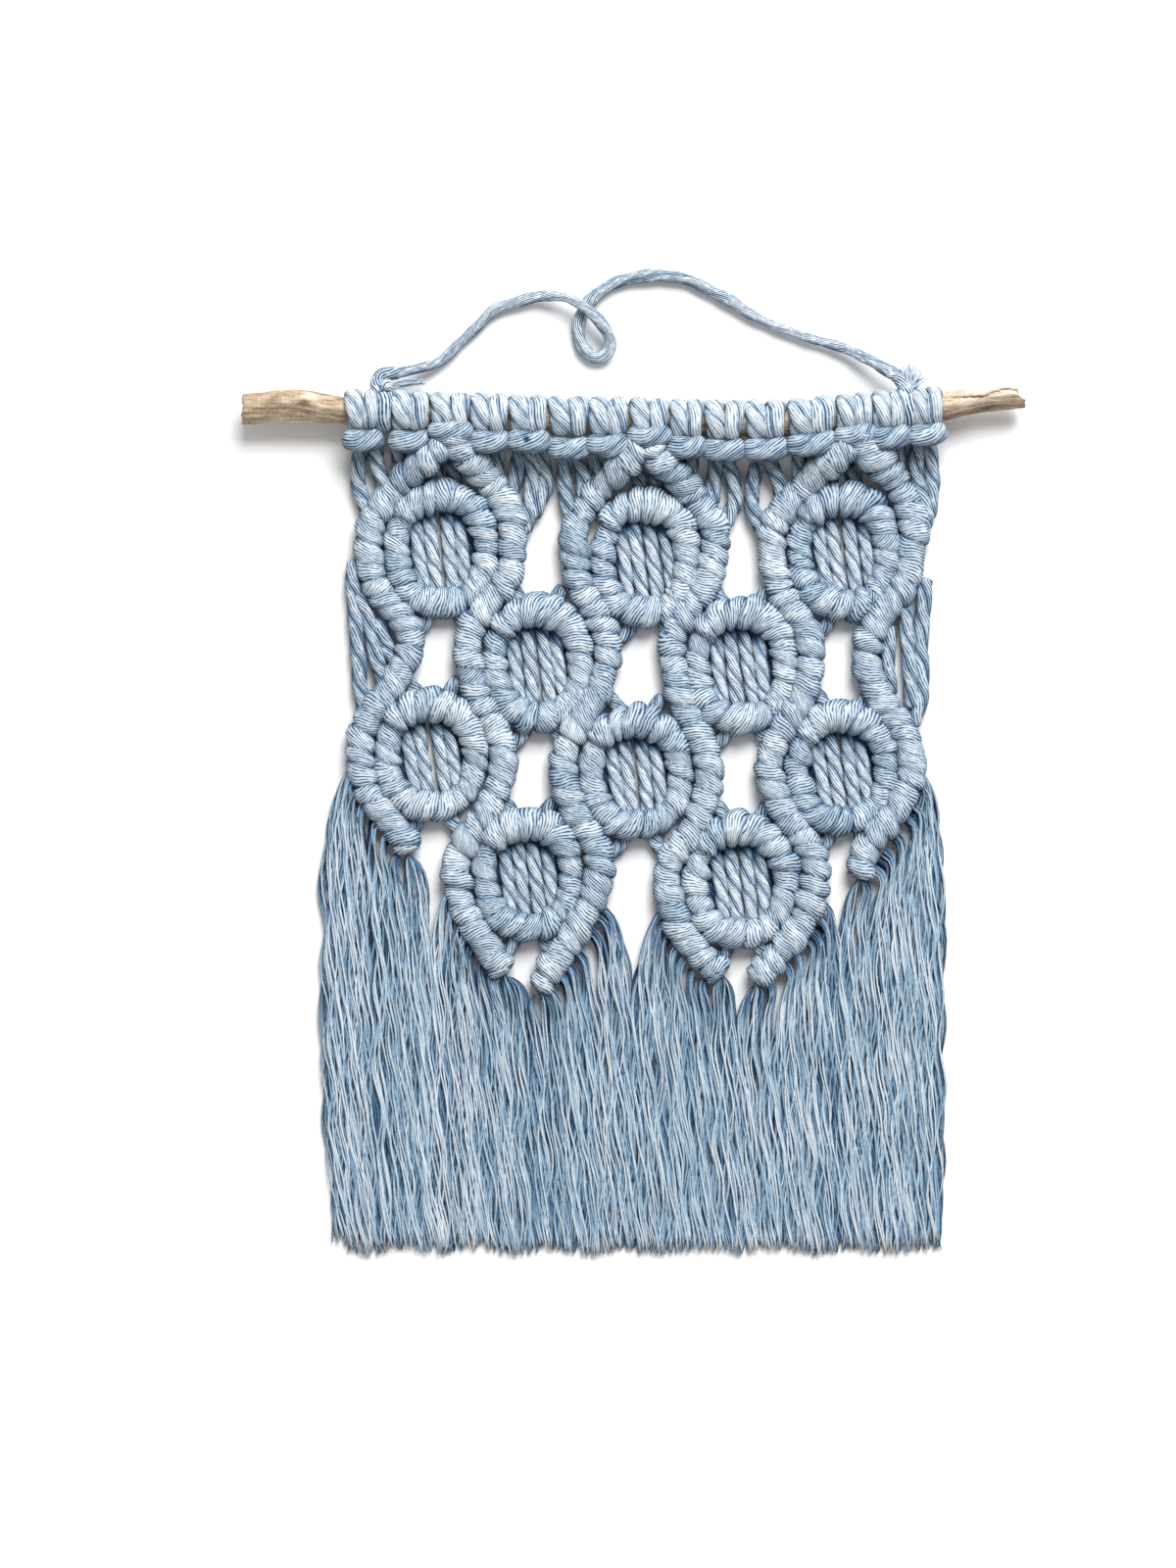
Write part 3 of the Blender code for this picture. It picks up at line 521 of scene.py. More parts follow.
def cord_skin(path: Array, lay: Lay, rng: np.random.Generator, up: Array = FRONT,
              end_radius: float = 1.6, swell: Array | float = 1.0, tone: Array | float = 0.0) -> Skin:
    """Twisted cord along a path.

    The turned angle is the angle round the cord less a full turn for each length of twist,
    plus a slow sine wave. A ply bulges as the size of the sine of half the turned angle times
    the number of plies, to a low power. A yarn is a half sine wave of its share of the turned
    angle, and each yarn stands a little higher or lower than the next.

    Args:
        path: points of the cord's middle line.
        lay: how it is laid up.
        rng: source of the yarns' differences.
        up: direction that the cord's front faces, one or one for each point.
        end_radius: length over which its two ends are round.
        swell: share of its full size, one value or one for each point.
        tone: how much lighter or darker it is, one value or one for each point.

    Returns:
        The cord's skin.
    """
    reach = lengths(path)
    side, rise = directions(path, up)
    angle = (np.arange(lay.sides) * TAU / lay.sides - math.pi / 2)[None, :]
    along = reach[:, None]
    drift = lay.drift[0] * np.sin(TAU * along / lay.drift[1] + rng.uniform(0.0, TAU))
    turned = angle - TAU * (along / lay.turn + rng.random()) + drift
    ply = np.abs(np.sin(lay.plies * turned / 2.0)) ** lay.ply_power
    yarn = turned * lay.yarns / TAU
    crest = yarn_crest(yarn)
    stand = rng.random(lay.yarns)[np.floor(yarn).astype(int) % lay.yarns] - 0.5
    lift = lay.yarn_depth * (crest - lay.mean_crest) + lay.stand * stand * crest
    size = 1.0 - lay.ply_depth * (1.0 - ply)
    full = rounded_ends(reach, end_radius)[:, None] * np.reshape(swell, (-1, 1))
    over = ((lay.width / 2 * size + lift) * full * np.cos(angle))[..., None] * side[:, None, :]
    out = ((lay.height / 2 * size + lift) * full * np.sin(angle))[..., None] * rise[:, None, :]
    points = path[:, None, :] + over + out
    # painted shade down the cord's sides; dome marks its ply grooves for the material's painted shade
    shade = shaded_sides(angle) + np.reshape(tone, (-1, 1))
    dome = 1.0 - (1.0 - ply) ** 2 * min(lay.ply_depth / lay.dark_depth, 1.0)
    return Skin(points[None], (turned * lay.width / 2)[None],
                (along + rng.uniform(0.0, PATTERN_START))[None],
                (yarn + rng.integers(0, YARN_NUMBERS))[None], dome[None], shade[None])


@dataclass(frozen=True)
class Hitching:
    """A bar of half hitches over a core: its section, its hitches and their yarns."""

    half_width: float = 4.75
    half_height: float = 3.95
    pitch: float = 5.5              # length of a hitch along the bar
    pitch_spread: float = 0.22
    groove: Pair = (0.45, 1.8)      # least and greatest depth of the groove between two hitches
    groove_on_top: float = 0.28     # share of that depth on top of the bar, 1 at its sides
    groove_seen: float = 0.2        # share of its painted shade that the shallowest groove keeps
    dome_power: float = 0.44
    swell: float = 0.28             # how much a hitch stands out more than the next
    shift: float = 0.3              # how much it lies further to one side
    shade: float = 0.045            # how much lighter or darker it is
    slant: float = 0.26             # length that a hitch runs on along the bar, for each sideways
    slant_waves: Points = ((0.12, 4.1), (0.07, 1.9))    # depth and length of the slant's waves
    lean: float = 0.3               # how much the yarns lean in one hitch more than in the next
    waver: Pair = (0.25, 0.9)       # depth, in yarns, and rate of the yarns' waves
    yarn: float = 0.92              # width of a yarn
    fewest_yarns: int = 4
    yarn_depth: float = 0.22
    stand: float = 0.24             # how much higher one yarn stands than another
    yarn_in_groove: float = 0.35    # share of the yarns' height that is left in a groove
    end_radius: float = 1.9
    step: float = 0.29


BAR_HITCHES = Hitching()
RING_HITCHES = Hitching(half_width=5.15, half_height=4.05, pitch=5.2)
SPARE_HITCHES = 4           # hitches worked out beyond a bar's length, for the slant
STANDS = 997                # random heights that the yarns of a bar take turns at
HITCH_APART = 9.0           # how far apart two hitches lie in the pattern of fibres
COLUMN_ANGLES = np.radians(np.concatenate([
    np.linspace(-28.0, 208.0, 13),          # over the top of a bar
    np.linspace(234.0, 306.0, 3),           # under it
]))


def hitch_skin(path: Array, hitching: Hitching, rng: np.random.Generator, size: Array | float = 1.0,
               tone: float = 0.0) -> Skin:
    """Bar of half hitches along a path, an oval tube with most of its columns on top.

    Sideways length over the bar is the arc sine of the cosine of the angle, times the mean half size. A
    point's place among the hitches is its length along the bar plus a slant, which wavers along the bar,
    times that sideways length. Within a hitch the surface is a dome, the sine of the share to a low power,
    with grooves that are deeper down the bar's sides, and the yarns are ridges across the bar that lean a
    little differently in each hitch. The bar's sides and its grooves get painted shade.

    Args:
        path: points of the bar's middle line, with their height.
        hitching: sizes of the bar and its hitches.
        rng: source of the hitches' differences.
        size: share of full size, one value or one for each point.
        tone: how much lighter or darker the whole bar is.

    Returns:
        The bar's skin.
    """
    reach = lengths(path)
    side, rise = directions(path, FRONT)
    count = max(2, round(reach[-1] / hitching.pitch)) + SPARE_HITCHES
    widths = hitching.pitch * (1.0 + hitching.pitch_spread * rng.uniform(-1.0, 1.0, count))
    edges = np.concatenate([[0.0], np.cumsum(widths)]) - hitching.pitch * (1.0 + 0.5 * rng.random())
    angle = COLUMN_ANGLES[None, :]
    girth = np.arcsin(np.clip(np.cos(angle), -1.0, 1.0)) * (hitching.half_width + hitching.half_height) / 2
    phase = rng.uniform(0.0, TAU, 3)
    slant = sum((depth * np.sin(reach / length + start)
                 for (depth, length), start in zip(hitching.slant_waves, phase)), hitching.slant)
    place = reach[:, None] + slant[:, None] * girth
    index = np.clip(np.searchsorted(edges, place, side="right") - 1, 0, count - 1)
    share = np.clip((place - edges[index]) / widths[index], 0.0, 1.0)
    dome = np.sin(math.pi * share) ** hitching.dome_power
    depth = rng.uniform(*hitching.groove, count + 1)
    groove = depth[index] * (1.0 - share) + depth[index + 1] * share
    groove = groove * (hitching.groove_on_top + (1.0 - hitching.groove_on_top) * np.abs(np.cos(angle)))

    yarns = np.maximum(np.round(widths / hitching.yarn), hitching.fewest_yarns)
    first = np.concatenate([[0.0], np.cumsum(yarns)])[:-1]
    lean = rng.normal(0.0, hitching.lean, count)[index]
    waver = hitching.waver[0] * np.sin(hitching.waver[1] * girth + phase[2] + index)
    yarn = first[index] + share * yarns[index] + lean * girth / hitching.yarn + waver
    crest = yarn_crest(yarn)
    stand = rng.random(STANDS)[np.floor(yarn).astype(int) % STANDS] - 0.5
    swell = rng.normal(0.0, hitching.swell, count)[index] * dome
    lift = hitching.yarn_depth * (crest - 0.5) + hitching.stand * stand * crest
    lift = lift * (hitching.yarn_in_groove + (1.0 - hitching.yarn_in_groove) * dome)
    out = lift - groove * (1.0 - dome) + swell
    scale = rounded_ends(reach, hitching.end_radius)[:, None] * np.reshape(size, (-1, 1))
    shift = rng.normal(0.0, hitching.shift, count)[index] * dome
    over = ((hitching.half_width + out) * np.cos(angle) * scale + shift)[..., None] * side[:, None, :]
    over = over + ((hitching.half_height + out) * np.sin(angle) * scale)[..., None] * rise[:, None, :]
    points = path[:, None, :] + over
    # painted shade down the bar's sides, plus each hitch's own random tone
    shade = shaded_sides(angle) + rng.normal(0.0, hitching.shade, count)[index] + tone
    # painted shade in the grooves, keeping more of it where a groove is deeper
    deep = hitching.groove_seen + (1.0 - hitching.groove_seen) * groove / hitching.groove[1]
    return Skin(points[None], (yarn * hitching.yarn)[None], (girth + HITCH_APART * index)[None],
                (yarn + rng.integers(0, YARN_NUMBERS))[None], (1.0 - (1.0 - dome) * deep)[None], shade[None])


LOOSE_SIDES = 4             # columns round a loose yarn, the second one on top
LOOSE_DOME = 0.1            # dome at its sides and below, where the material paints shade; 1 on top
LOOSE_APART = 31.0          # how far apart two loose yarns lie in the pattern of fibres


def yarn_skin(paths: Array, radii: Array, tones: Array) -> Skin:
    """Batch of loose yarns, one for each path: plain tubes, pale on top and dark with painted shade at the
    sides.

    Args:
        paths: yarns, rows and xyz.
        radii: radius at each row of each yarn.
        tones: how much lighter or darker each yarn is at each row.

    Returns:
        The yarns' skin.
    """
    side, rise = directions(paths, FRONT)
    angle = np.arange(LOOSE_SIDES) * TAU / LOOSE_SIDES
    ring = np.cos(angle)[:, None] * side[:, :, None, :] + np.sin(angle)[:, None] * rise[:, :, None, :]
    points = paths[:, :, None, :] + ring * radii[:, :, None, None]
    steps = np.linalg.norm(np.diff(paths, axis=1), axis=2)
    reach = np.concatenate([np.zeros((len(paths), 1)), np.cumsum(steps, axis=1)], axis=1)
    number = np.arange(len(paths))[:, None, None]
    dome = LOOSE_DOME + (1.0 - LOOSE_DOME) * np.maximum(np.sin(angle), 0.0)
    return Skin(points, radii[:, :, None] * (angle - math.pi / 2), reach[:, :, None] + LOOSE_APART * number,
                number + 0.5, dome, tones[:, :, None])


# ---------------------------------------------------------------- the stick
STICK_AXIS_Z = 8.0
SLOPE_SPAN = 8.0            # length over which the slope of the axis is read
SOFTENING = (-4.0, -2.0, 0.0, 2.0, 4.0)     # readings beside x that are averaged along the stick
STICK_LINE = (              # x, y of the bowed axis, radius
    (-123.1, 126.3, 4.75),
    (-112.0, 127.0, 4.9),
    (-104.2, 127.5, 5.0),
    (-92.1, 125.7, 4.3),
    (-64.2, 124.8, 4.4),
    (-33.2, 123.7, 4.4),
    (-2.2, 122.9, 4.4),
    (34.4, 122.0, 4.4),
    (48.4, 122.3, 4.4),
    (62.9, 123.8, 4.4),
    (97.0, 126.8, 4.4),
    (109.4, 129.5, 4.1),
    (117.0, 130.4, 4.1),
    (123.7, 130.5, 3.6),
)


def stick_at(x: float) -> tuple[float, float, float]:
    """Axis height y, slope angle and radius of the stick at x."""
    rows = np.array(STICK_LINE)
    y, before, after = (float(np.interp(x + offset, rows[:, 0], rows[:, 1]))
                        for offset in (0.0, -SLOPE_SPAN / 2, SLOPE_SPAN / 2))
    radius = float(np.interp(x, rows[:, 0], rows[:, 2]))
    return y, math.atan2(after - before, SLOPE_SPAN), radius


def softened(x: Array, places: Array, values: Array) -> Array:
    """Values at x along a table, softened over a few millimetres by averaging readings beside x."""
    return np.mean([np.interp(x + offset, places, values) for offset in SOFTENING], axis=0)


def bell(distance: Array) -> Array:
    """Bell curve: 1 at no distance, and e to the minus square of the distance beside it."""
    return np.exp(-distance ** 2)


def teeth(angle: Array, waves: Points) -> Array:
    """Sum of sine waves round an end, each of a depth, a number of waves and a start."""
    return sum(depth * np.sin(number * angle + start) for depth, number, start in waves)


@dataclass
class Stick:
    """Bowed driftwood stick with a scar, a long crack and a broken right end.

    Heights are over the axis, as shares of the radius, and only the front has the marks.
    """

    finish: bpy.types.Material
    step: float = 0.8
    sides: int = 60
    ridges: Points = ((2, 90.0, 0.10), (3, 61.0, 0.08), (5, 47.0, 0.05), (9, 38.0, 0.035), (14, 29.0, 0.03),
                      (19, 23.0, 0.025), (1, 17.0, 0.05))   # number round the stick, length, depth
    ridge_wander: float = 0.8                       # how far a ridge wanders round, in radians
    short_waves: Triple = (0.6, 0.37, 2)            # shares of depth and length, number round the stick
    ridge_height: float = 1.7
    ridge_tone: float = 0.5
    scar: tuple[float, ...] = (-104.0, 0.12, 1.7, 0.17)     # x, height, half length, half width
    scar_bowl: Pair = (0.5, 0.9)                    # depth and darkness
    scar_specks: Pair = (0.6, 1.1)                  # least and greatest share of that darkness
    scar_lip: Triple = (0.2, 1.6, 0.6)              # height, and place and width in sizes of the scar
    behind: float = 9.0                             # how many times further off the scar is at the back
    crack: Points = ((98.0, 0.62), (104.0, 0.34), (109.4, 0.12), (113.0, 0.36), (116.0, 0.5), (121.5, 0.42))
    crack_opening: float = 6.0                      # length over which it opens
    crack_groove: Triple = (0.045, 0.95, 1.3)       # width, depth, darkness
    crack_ledge: Triple = (0.2, 0.28, 0.18)         # width, height and paleness of the step above it
    scratch: tuple[float, ...] = (-100.0, -0.45, -0.02, -88.0)      # x, height there, slope, x of its end
    scratch_groove: Triple = (0.06, 0.12, 0.12)     # width, depth, darkness
    patch: tuple[float, ...] = (-101.6, 0.56, 3.8, 0.3, 0.36)   # x, height, length, width, paleness
    end_line: Points = ((-1.0, -1.2), (-0.8, 0.0), (-0.5, -0.6), (-0.15, -2.2), (0.1, -2.8), (0.3, -3.7),
                        (0.6, -3.4), (1.0, -5.0))   # height, how far the right end is moved
    right_teeth: Points = ((0.35, 7, 0.0), (0.2, 13, 0.0))
    left_teeth: Points = ((0.3, 5, 1.0), (0.25, 11, 0.0))
    end_lengths: Pair = (4.0, 9.0)                  # length that moves with the left and the right end
    paleness: Points = ((-100.0, 0.46), (60.0, 0.51), (104.0, 0.56), (112.0, 0.63))     # x, tone
    lit: float = 0.06                               # tone of the top right and the bottom left
    underside: Triple = (90.0, -0.1, 0.25)          # from x, below a height: darkness
    tones: Pair = (0.0, 1.2)
    mean_radius: float = 4.4

    def skin(self) -> Skin:
        """Work out the wood's surface.

        The radius is the axis table's plus ridges, which are sine waves round the stick that
        wander along it, less bell curves for the scar's bowl, the crack and the scratch, plus
        the scar's lip and the ledge above the crack. Small waves move both ends, and a line of
        its height moves the right one. The tone follows the same forms.

        Returns:
            The stick's skin.
        """
        rng = np.random.default_rng(SEED)
        rows = np.array(STICK_LINE)
        x = np.arange(rows[0, 0], rows[-1, 0] + self.step / 2, self.step)[:, None]
        angle = (np.arange(self.sides) * TAU / self.sides)[None, :]
        y = softened(x, rows[:, 0], rows[:, 1])
        radius = softened(x, rows[:, 0], rows[:, 2])
        high, front = np.cos(angle), np.sin(angle)
        seen = front > 0

        waves = np.zeros((len(x), self.sides))
        for number, length, depth in self.ridges:
            phase = rng.uniform(0.0, TAU, 2)
            wander = self.ridge_wander * np.sin(TAU * x / length + phase[1])
            waves += depth * np.sin(number * angle + phase[0] + wander)
            less, shorter, turns = self.short_waves
            waves += depth * less * np.sin(TAU * x / (length * shorter) + phase[1] + turns * angle)

        scar_x, scar_high, scar_length, scar_width = self.scar
        scar = np.hypot((x - scar_x) / scar_length, (high - scar_high) / scar_width)
        scar = scar * np.where(seen, 1.0, self.behind)
        bowl = bell(scar)
        lip = bell((scar - self.scar_lip[1]) / self.scar_lip[2])
        above = high - table_at(x, self.crack)
        opened = np.clip((x - self.crack[0][0]) / self.crack_opening, 0.0, 1.0) * seen
        split = bell(above / self.crack_groove[0]) * opened
        ledge = np.clip(above / self.crack_ledge[0], 0.0, 1.0) * opened
        scratch_x, scratch_high, scratch_slope, scratch_end = self.scratch
        scratch = high - scratch_high - scratch_slope * (x - scratch_x)
        scratch = bell(scratch / self.scratch_groove[0]) * (x < scratch_end) * seen
        patch_x, patch_high, patch_length, patch_width, patch_tone = self.patch
        patch = bell((x - patch_x) / patch_length) * bell((high - patch_high) / patch_width) * seen

        size = radius + self.ridge_height * waves - self.scar_bowl[0] * bowl + self.scar_lip[0] * lip
        size = size - self.crack_groove[1] * split - self.scratch_groove[1] * scratch
        size = size + self.crack_ledge[1] * ledge
        near_start, near_end = self.end_lengths
        left = teeth(angle, self.left_teeth) * np.clip((rows[0, 0] + near_start - x) / near_start, 0.0, 1.0)
        right = table_at(high, self.end_line) + teeth(angle, self.right_teeth)
        right = right * np.clip((x - (rows[-1, 0] - near_end)) / near_end, 0.0, 1.0) ** 2
        points = np.stack([x + left + right, y + size * high, STICK_AXIS_Z + size * front], axis=-1)

        specks = rng.uniform(*self.scar_specks, waves.shape)
        tone = table_at(x, self.paleness) + self.ridge_tone * waves - self.scar_bowl[1] * bowl * specks
        tone = tone + patch_tone * patch - self.crack_groove[2] * split - self.scratch_groove[2] * scratch
        tone = tone + self.crack_ledge[2] * ledge + self.lit * high * np.sign(x)
        from_x, below, darkness = self.underside
        tone = tone - darkness * np.clip(below - high, 0.0, 1.0) * (x > from_x)
        across = angle * self.mean_radius + 0 * x
        return Skin(points[None, :, ::-1], across[None, :, ::-1], (x + 0 * angle)[None], 0.5, 1.0,
                    np.clip(tone, *self.tones)[None, :, ::-1])

    def build(self) -> None:
        """Make the stick's piece."""
        weld("driftwood_stick", [self.skin()], self.finish, Slot.WOOD, "stick")


def round_stick(x: float, y: float, slope: float, turn: Array, across: Array, reach: Array | float,
                step: float) -> tuple[Array, Array]:
    """Path that turns round the stick's axis: a circle whose radius and place across may change.

    Args:
        x: where the axis is passed.
        y: height of the axis there.
        slope: slope that the path follows as it goes across.
        turn: angles round the axis, 0 above it and a quarter turn in front of it.
        across: distance along the stick from x at each angle.
        reach: distance from the axis, one or one for each angle.
        step: distance between two points of the path.

    Returns:
        The path, and the direction away from the axis at each of its points.
    """
    line = np.column_stack([x + across, y + across * math.tan(slope) + reach * np.cos(turn),
                            STICK_AXIS_Z + reach * np.sin(turn)])
    path = smooth_path(line, step)
    return path, path * (0.0, 1.0, 1.0) - (0.0, y, STICK_AXIS_Z)


# ---------------------------------------------------------------- lark's heads
HEADS = (                   # x, width over the two wraps, drop of the front bar below the axis
    (-85.4, 10.2, 8.7),
    (-70.4, 11.8, 8.5),
    (-57.8, 11.8, 5.2),
    (-45.7, 11.2, 7.9),
    (-33.3, 11.5, 7.4),
    (-20.6, 11.8, 9.1),
    (-8.2, 12.1, 7.9),
    (4.65, 11.5, 4.8),
    (16.4, 10.2, 7.9),
    (28.2, 11.8, 8.5),
    (41.2, 12.4, 8.2),
    (55.6, 14.3, 7.6),
    (69.1, 10.9, 6.2),
    (80.4, 11.0, 7.8),
    (91.9, 9.4, 7.9),
)

PITTED_HEAD = 4             # number of the head whose front bar has a small pit, painted as a dark spot of shade
PIT = (-33.9, 116.3, 0.8)   # x, y and radius of the pit's painted shade


@dataclass
class LarkHead:
    """Lark's head knot: two wraps over the stick and a smile-shaped bar in front of them."""

    number: int
    finish: bpy.types.Material
    wrap_arc: Pair = (-150.0, 152.0)        # angles round the stick, 0 above it and 90 in front of it
    wrap_fall: float = 0.9          # from the wood to the middle of a wrap
    wrap_bulge: float = 0.4         # how much further out a wrap is in front of the stick
    wrap_apart: float = 0.2         # how much further out than halfway it lies
    wrap_wider: float = 0.8         # how much wider it is than its half of the knot
    wrap_in: tuple[float, ...] = (0.5, 1.7, 1.5, 0.26)      # from where it comes in, over what, power, share
    wrap_lean: float = 0.4
    turns: Pair = (21.0, 46.0)      # twist of the left and of the right wrap
    front_reach: float = 9.2        # from the stick's axis to the middle of the front bar
    front_rise: Pair = (12.0, 34.0)         # squares of its least and greatest height over the axis
    front_over: float = 0.5         # how far it passes the wraps
    smile: Triple = (1.5, 0.9, -0.9)        # height of its ends, more of its right end, and of all of it
    tucked: float = 2.6             # how far its ends go back
    thinner: float = 0.22           # how much thinner it is at its ends
    front_end: float = 2.8          # how round its ends are
    front_tones: Pair = (-0.15, -0.45)      # all over, and more at its ends as painted shade where they tuck back

    def wrap(self, sign: int, rng: np.random.Generator) -> Skin:
        """One wrap: an arc round the stick's axis that comes in towards the knot's middle."""
        x, width, _ = HEADS[self.number]
        y, slope, radius = stick_at(x)
        turn = np.radians(np.linspace(*self.wrap_arc, 15))
        start, over, power, share = self.wrap_in
        inwards = share * np.clip((turn - start) / over, 0.0, 1.0) ** power
        lean = rng.uniform(-self.wrap_lean, self.wrap_lean)
        across = sign * (width / 4 + self.wrap_apart) * (1.0 - inwards) + lean * np.cos(turn)
        reach = radius + self.wrap_fall + self.wrap_bulge * np.sin(np.maximum(turn, 0.0)) ** 2
        path, outward = round_stick(x, y, slope, turn, across, reach, WRAP_LAY.step)
        lay = replace(WRAP_LAY, width=width / 2 + self.wrap_wider, turn=self.turns[sign > 0])
        return cord_skin(path, lay, rng, up=outward)

    def front(self, rng: np.random.Generator) -> Skin:
        """The bar in front: full in the middle, its ends raised and tucked back, with painted shade at its
        ends.
        """
        x, width, drop = HEADS[self.number]
        y, slope, _ = stick_at(x)
        height = STICK_AXIS_Z + math.sqrt(np.clip(self.front_reach ** 2 - drop ** 2, *self.front_rise))
        shares = np.linspace(-1.0, 1.0, 9)
        across = shares * (width / 2 + self.front_over)
        ends, right_end, whole = self.smile
        raised = ends * shares ** 2 + right_end * np.maximum(shares, 0.0) ** 2 + whole
        line = np.column_stack([x + across, y - drop + across * math.tan(slope) + raised,
                                height - self.tucked * shares ** 4])
        path = smooth_path(line, FRONT_LAY.step)
        along = np.linspace(-1.0, 1.0, len(path))
        skin = cord_skin(path, FRONT_LAY, rng, end_radius=self.front_end,
                         swell=1.0 - self.thinner * along ** 2,
                         tone=self.front_tones[0] + self.front_tones[1] * along ** 6)
        if self.number == PITTED_HEAD:
            near = np.hypot(skin.points[..., 0] - PIT[0], skin.points[..., 1] - PIT[1])
            # painted shade in the pit
            skin.tone = skin.tone - bell(near / PIT[2])
        return skin

    def build(self) -> None:
        """Make the knot's piece."""
        rng = np.random.default_rng([SEED, 1, self.number])
        skins = [self.wrap(-1, rng), self.wrap(1, rng), self.front(rng)]
        weld(f"lark_head_{self.number + 1}", skins, self.finish, Slot.KNOTS, "knotted_panel")


# ---------------------------------------------------------------- wavy bars
BARS = {                    # centre line of each wavy bar: x, y
    "a": ((-59.2, 115.6), (-62.3, 112.7), (-68.2, 108.0), (-74.1, 102.9), (-80.0, 95.6),
          (-83.7, 87.0), (-81.5, 71.5), (-70.4, 54.7), (-75.6, 40.5), (-85.6, 25.3), (-84.6, 8.2),
          (-73.5, -7.6), (-71.3, -13.8)),
    "b": ((-57.6, 119.0), (-55.2, 113.8), (-50.2, 109.2), (-44.2, 101.6), (-39.8, 94.6), (-38.3, 87.6),
          (-40.6, 72.7), (-52.1, 56.0), (-50.2, 37.7), (-41.2, 19.1), (-45.3, 1.7), (-55.8, -15.0),
          (-54.6, -29.0), (-48.0, -41.1), (-40.9, -51.9)),
    "c": ((2.4, 115.2), (-0.6, 112.1), (-5.4, 106.9), (-12.9, 98.8), (-17.0, 92.2), (-18.9, 85.7),
          (-17.1, 71.5), (-8.7, 54.7), (-10.8, 38.3), (-21.4, 20.0), (-20.5, 4.5), (-11.5, -13.5),
          (-13.0, -27.4), (-20.8, -41.4), (-30.4, -56.9)),
    "d": ((4.8, 115.0), (6.9, 111.2), (12.8, 105.4), (18.5, 98.8), (22.8, 93.4), (25.4, 87.3),
          (23.2, 72.7), (12.2, 54.7), (14.6, 36.1), (22.9, 17.5), (21.4, -0.2), (10.8, -18.1),
          (13.3, -34.6), (20.1, -44.5), (27.9, -52.5)),
    "e": ((68.2, 116.0), (65.2, 112.8), (58.8, 107.4), (50.6, 99.0), (45.0, 91.6), (43.2, 85.0),
          (45.6, 69.9), (55.5, 53.2), (53.0, 36.1), (43.1, 17.5), (45.9, 2.6), (56.4, -15.0),
          (54.2, -33.6), (45.9, -45.1), (38.1, -54.4)),
    "f": ((70.2, 119.2), (72.8, 114.0), (78.0, 108.6), (83.9, 101.8), (87.4, 94.8), (88.3, 87.6),
          (85.6, 72.1), (73.5, 53.2), (76.6, 37.4), (87.1, 20.0), (85.2, 4.8), (73.8, -11.3), (71.0, -21.9)),
}


@dataclass
class WavyBar:
    """One wavy bar of half hitches, from its lark's head down to its end knot."""

    name: str
    finish: bpy.types.Material
    full: Points = ((0.0, 1.0), (8.0, 1.14), (24.0, 1.02))      # length down the bar, share of full size
    raised: Points = ((0.0, 8.2), (7.0, 6.0), (20.0, 0.2))      # length down the bar, height over its rest
    upper_one: Triple = (0.1, 0.8, 8.0)     # every second bar: height over the others, more at its top, fall
    sunk: float = 0.05

    def build(self) -> None:
        """Make the bar's piece."""
        order = list(BARS).index(self.name)
        rng = np.random.default_rng([SEED, 2, order])
        line = smooth_path(BARS[self.name], BAR_HITCHES.step)
        reach = lengths(line)
        size = table_at(reach, self.full)
        all_over, at_top, fall = self.upper_one
        lift = table_at(reach, self.raised) + (order % 2) * (all_over + at_top * np.exp(-reach / fall))
        height = BAR_HITCHES.half_height * size - self.sunk + lift
        path = with_height(line, 0.0) + FRONT * height[:, None]
        skins = [hitch_skin(path, BAR_HITCHES, rng, size, tone=rng.normal(0.0, 0.02))]
        weld(f"wavy_bar_{self.name}", skins, self.finish, Slot.KNOTS, "knotted_panel")


# ---------------------------------------------------------------- rings
RINGS = (                   # x, y, half width and half height of the ring's centre line
    (-60.9, 82.2, 14.3, 17.0),
    (3.3, 79.4, 13.5, 17.0),
    (66.0, 81.5, 13.9, 16.7),
    (-30.5, 46.2, 13.5, 16.8),
    (33.8, 45.6, 14.0, 16.9),
    (-64.0, 17.2, 14.1, 16.1),
    (0.6, 11.6, 14.1, 16.4),
    (65.7, 13.0, 14.0, 16.6),
    (-33.6, -20.5, 13.8, 16.3),
    (33.6, -22.5, 14.3, 16.4),
)
FIRST_ROW = 3               # rings of the top row, which hang below the heads
APEX_BITS = (               # from the ring's middle: x, y of the cords seen under a bar pair's meeting
    ((-1.8, 28.0), (-1.6, 24.0), (-1.2, 19.5)),
    ((3.4, 28.0), (3.8, 24.0), (4.2, 19.5)),
)
TOP_STUBS = (               # from the ring's middle: x, y of the cords at the foot of an opening
    ((-9.0, 24.6), (-7.0, 22.4), (-4.4, 18.8)),
    ((9.0, 24.2), (7.2, 22.2), (4.8, 18.8)),
)
FOOT_STUBS = (              # from the ring's middle: x, y of the cords at the head of an opening
    ((-3.2, -18.0), (-5.0, -22.6), (-9.0, -26.2)),
    ((5.0, -18.0), (6.8, -22.4), (10.0, -25.8)),
)


@dataclass(frozen=True)
class Arc:
    """One arc of a ring: its angles from +X, and its height and size by shares along it."""

    start: float
    end: float
    lifts: Points
    sizes: Points


UPPER_ARC = Arc(148.0, -52.0, ((0.0, 1.0), (0.12, 0.5), (0.25, 0.0), (1.0, 0.0)),
                ((0.0, 0.9), (0.12, 1.0), (0.3, 1.16), (0.48, 1.02), (0.74, 0.82), (1.0, 0.84)))
LOWER_ARC = Arc(132.0, 318.0, ((0.0, -0.6), (0.15, 0.0), (0.85, 0.0), (1.0, -0.5)),
                ((0.0, 0.78), (0.26, 0.82), (0.5, 0.94), (0.74, 1.02), (1.0, 0.8)))


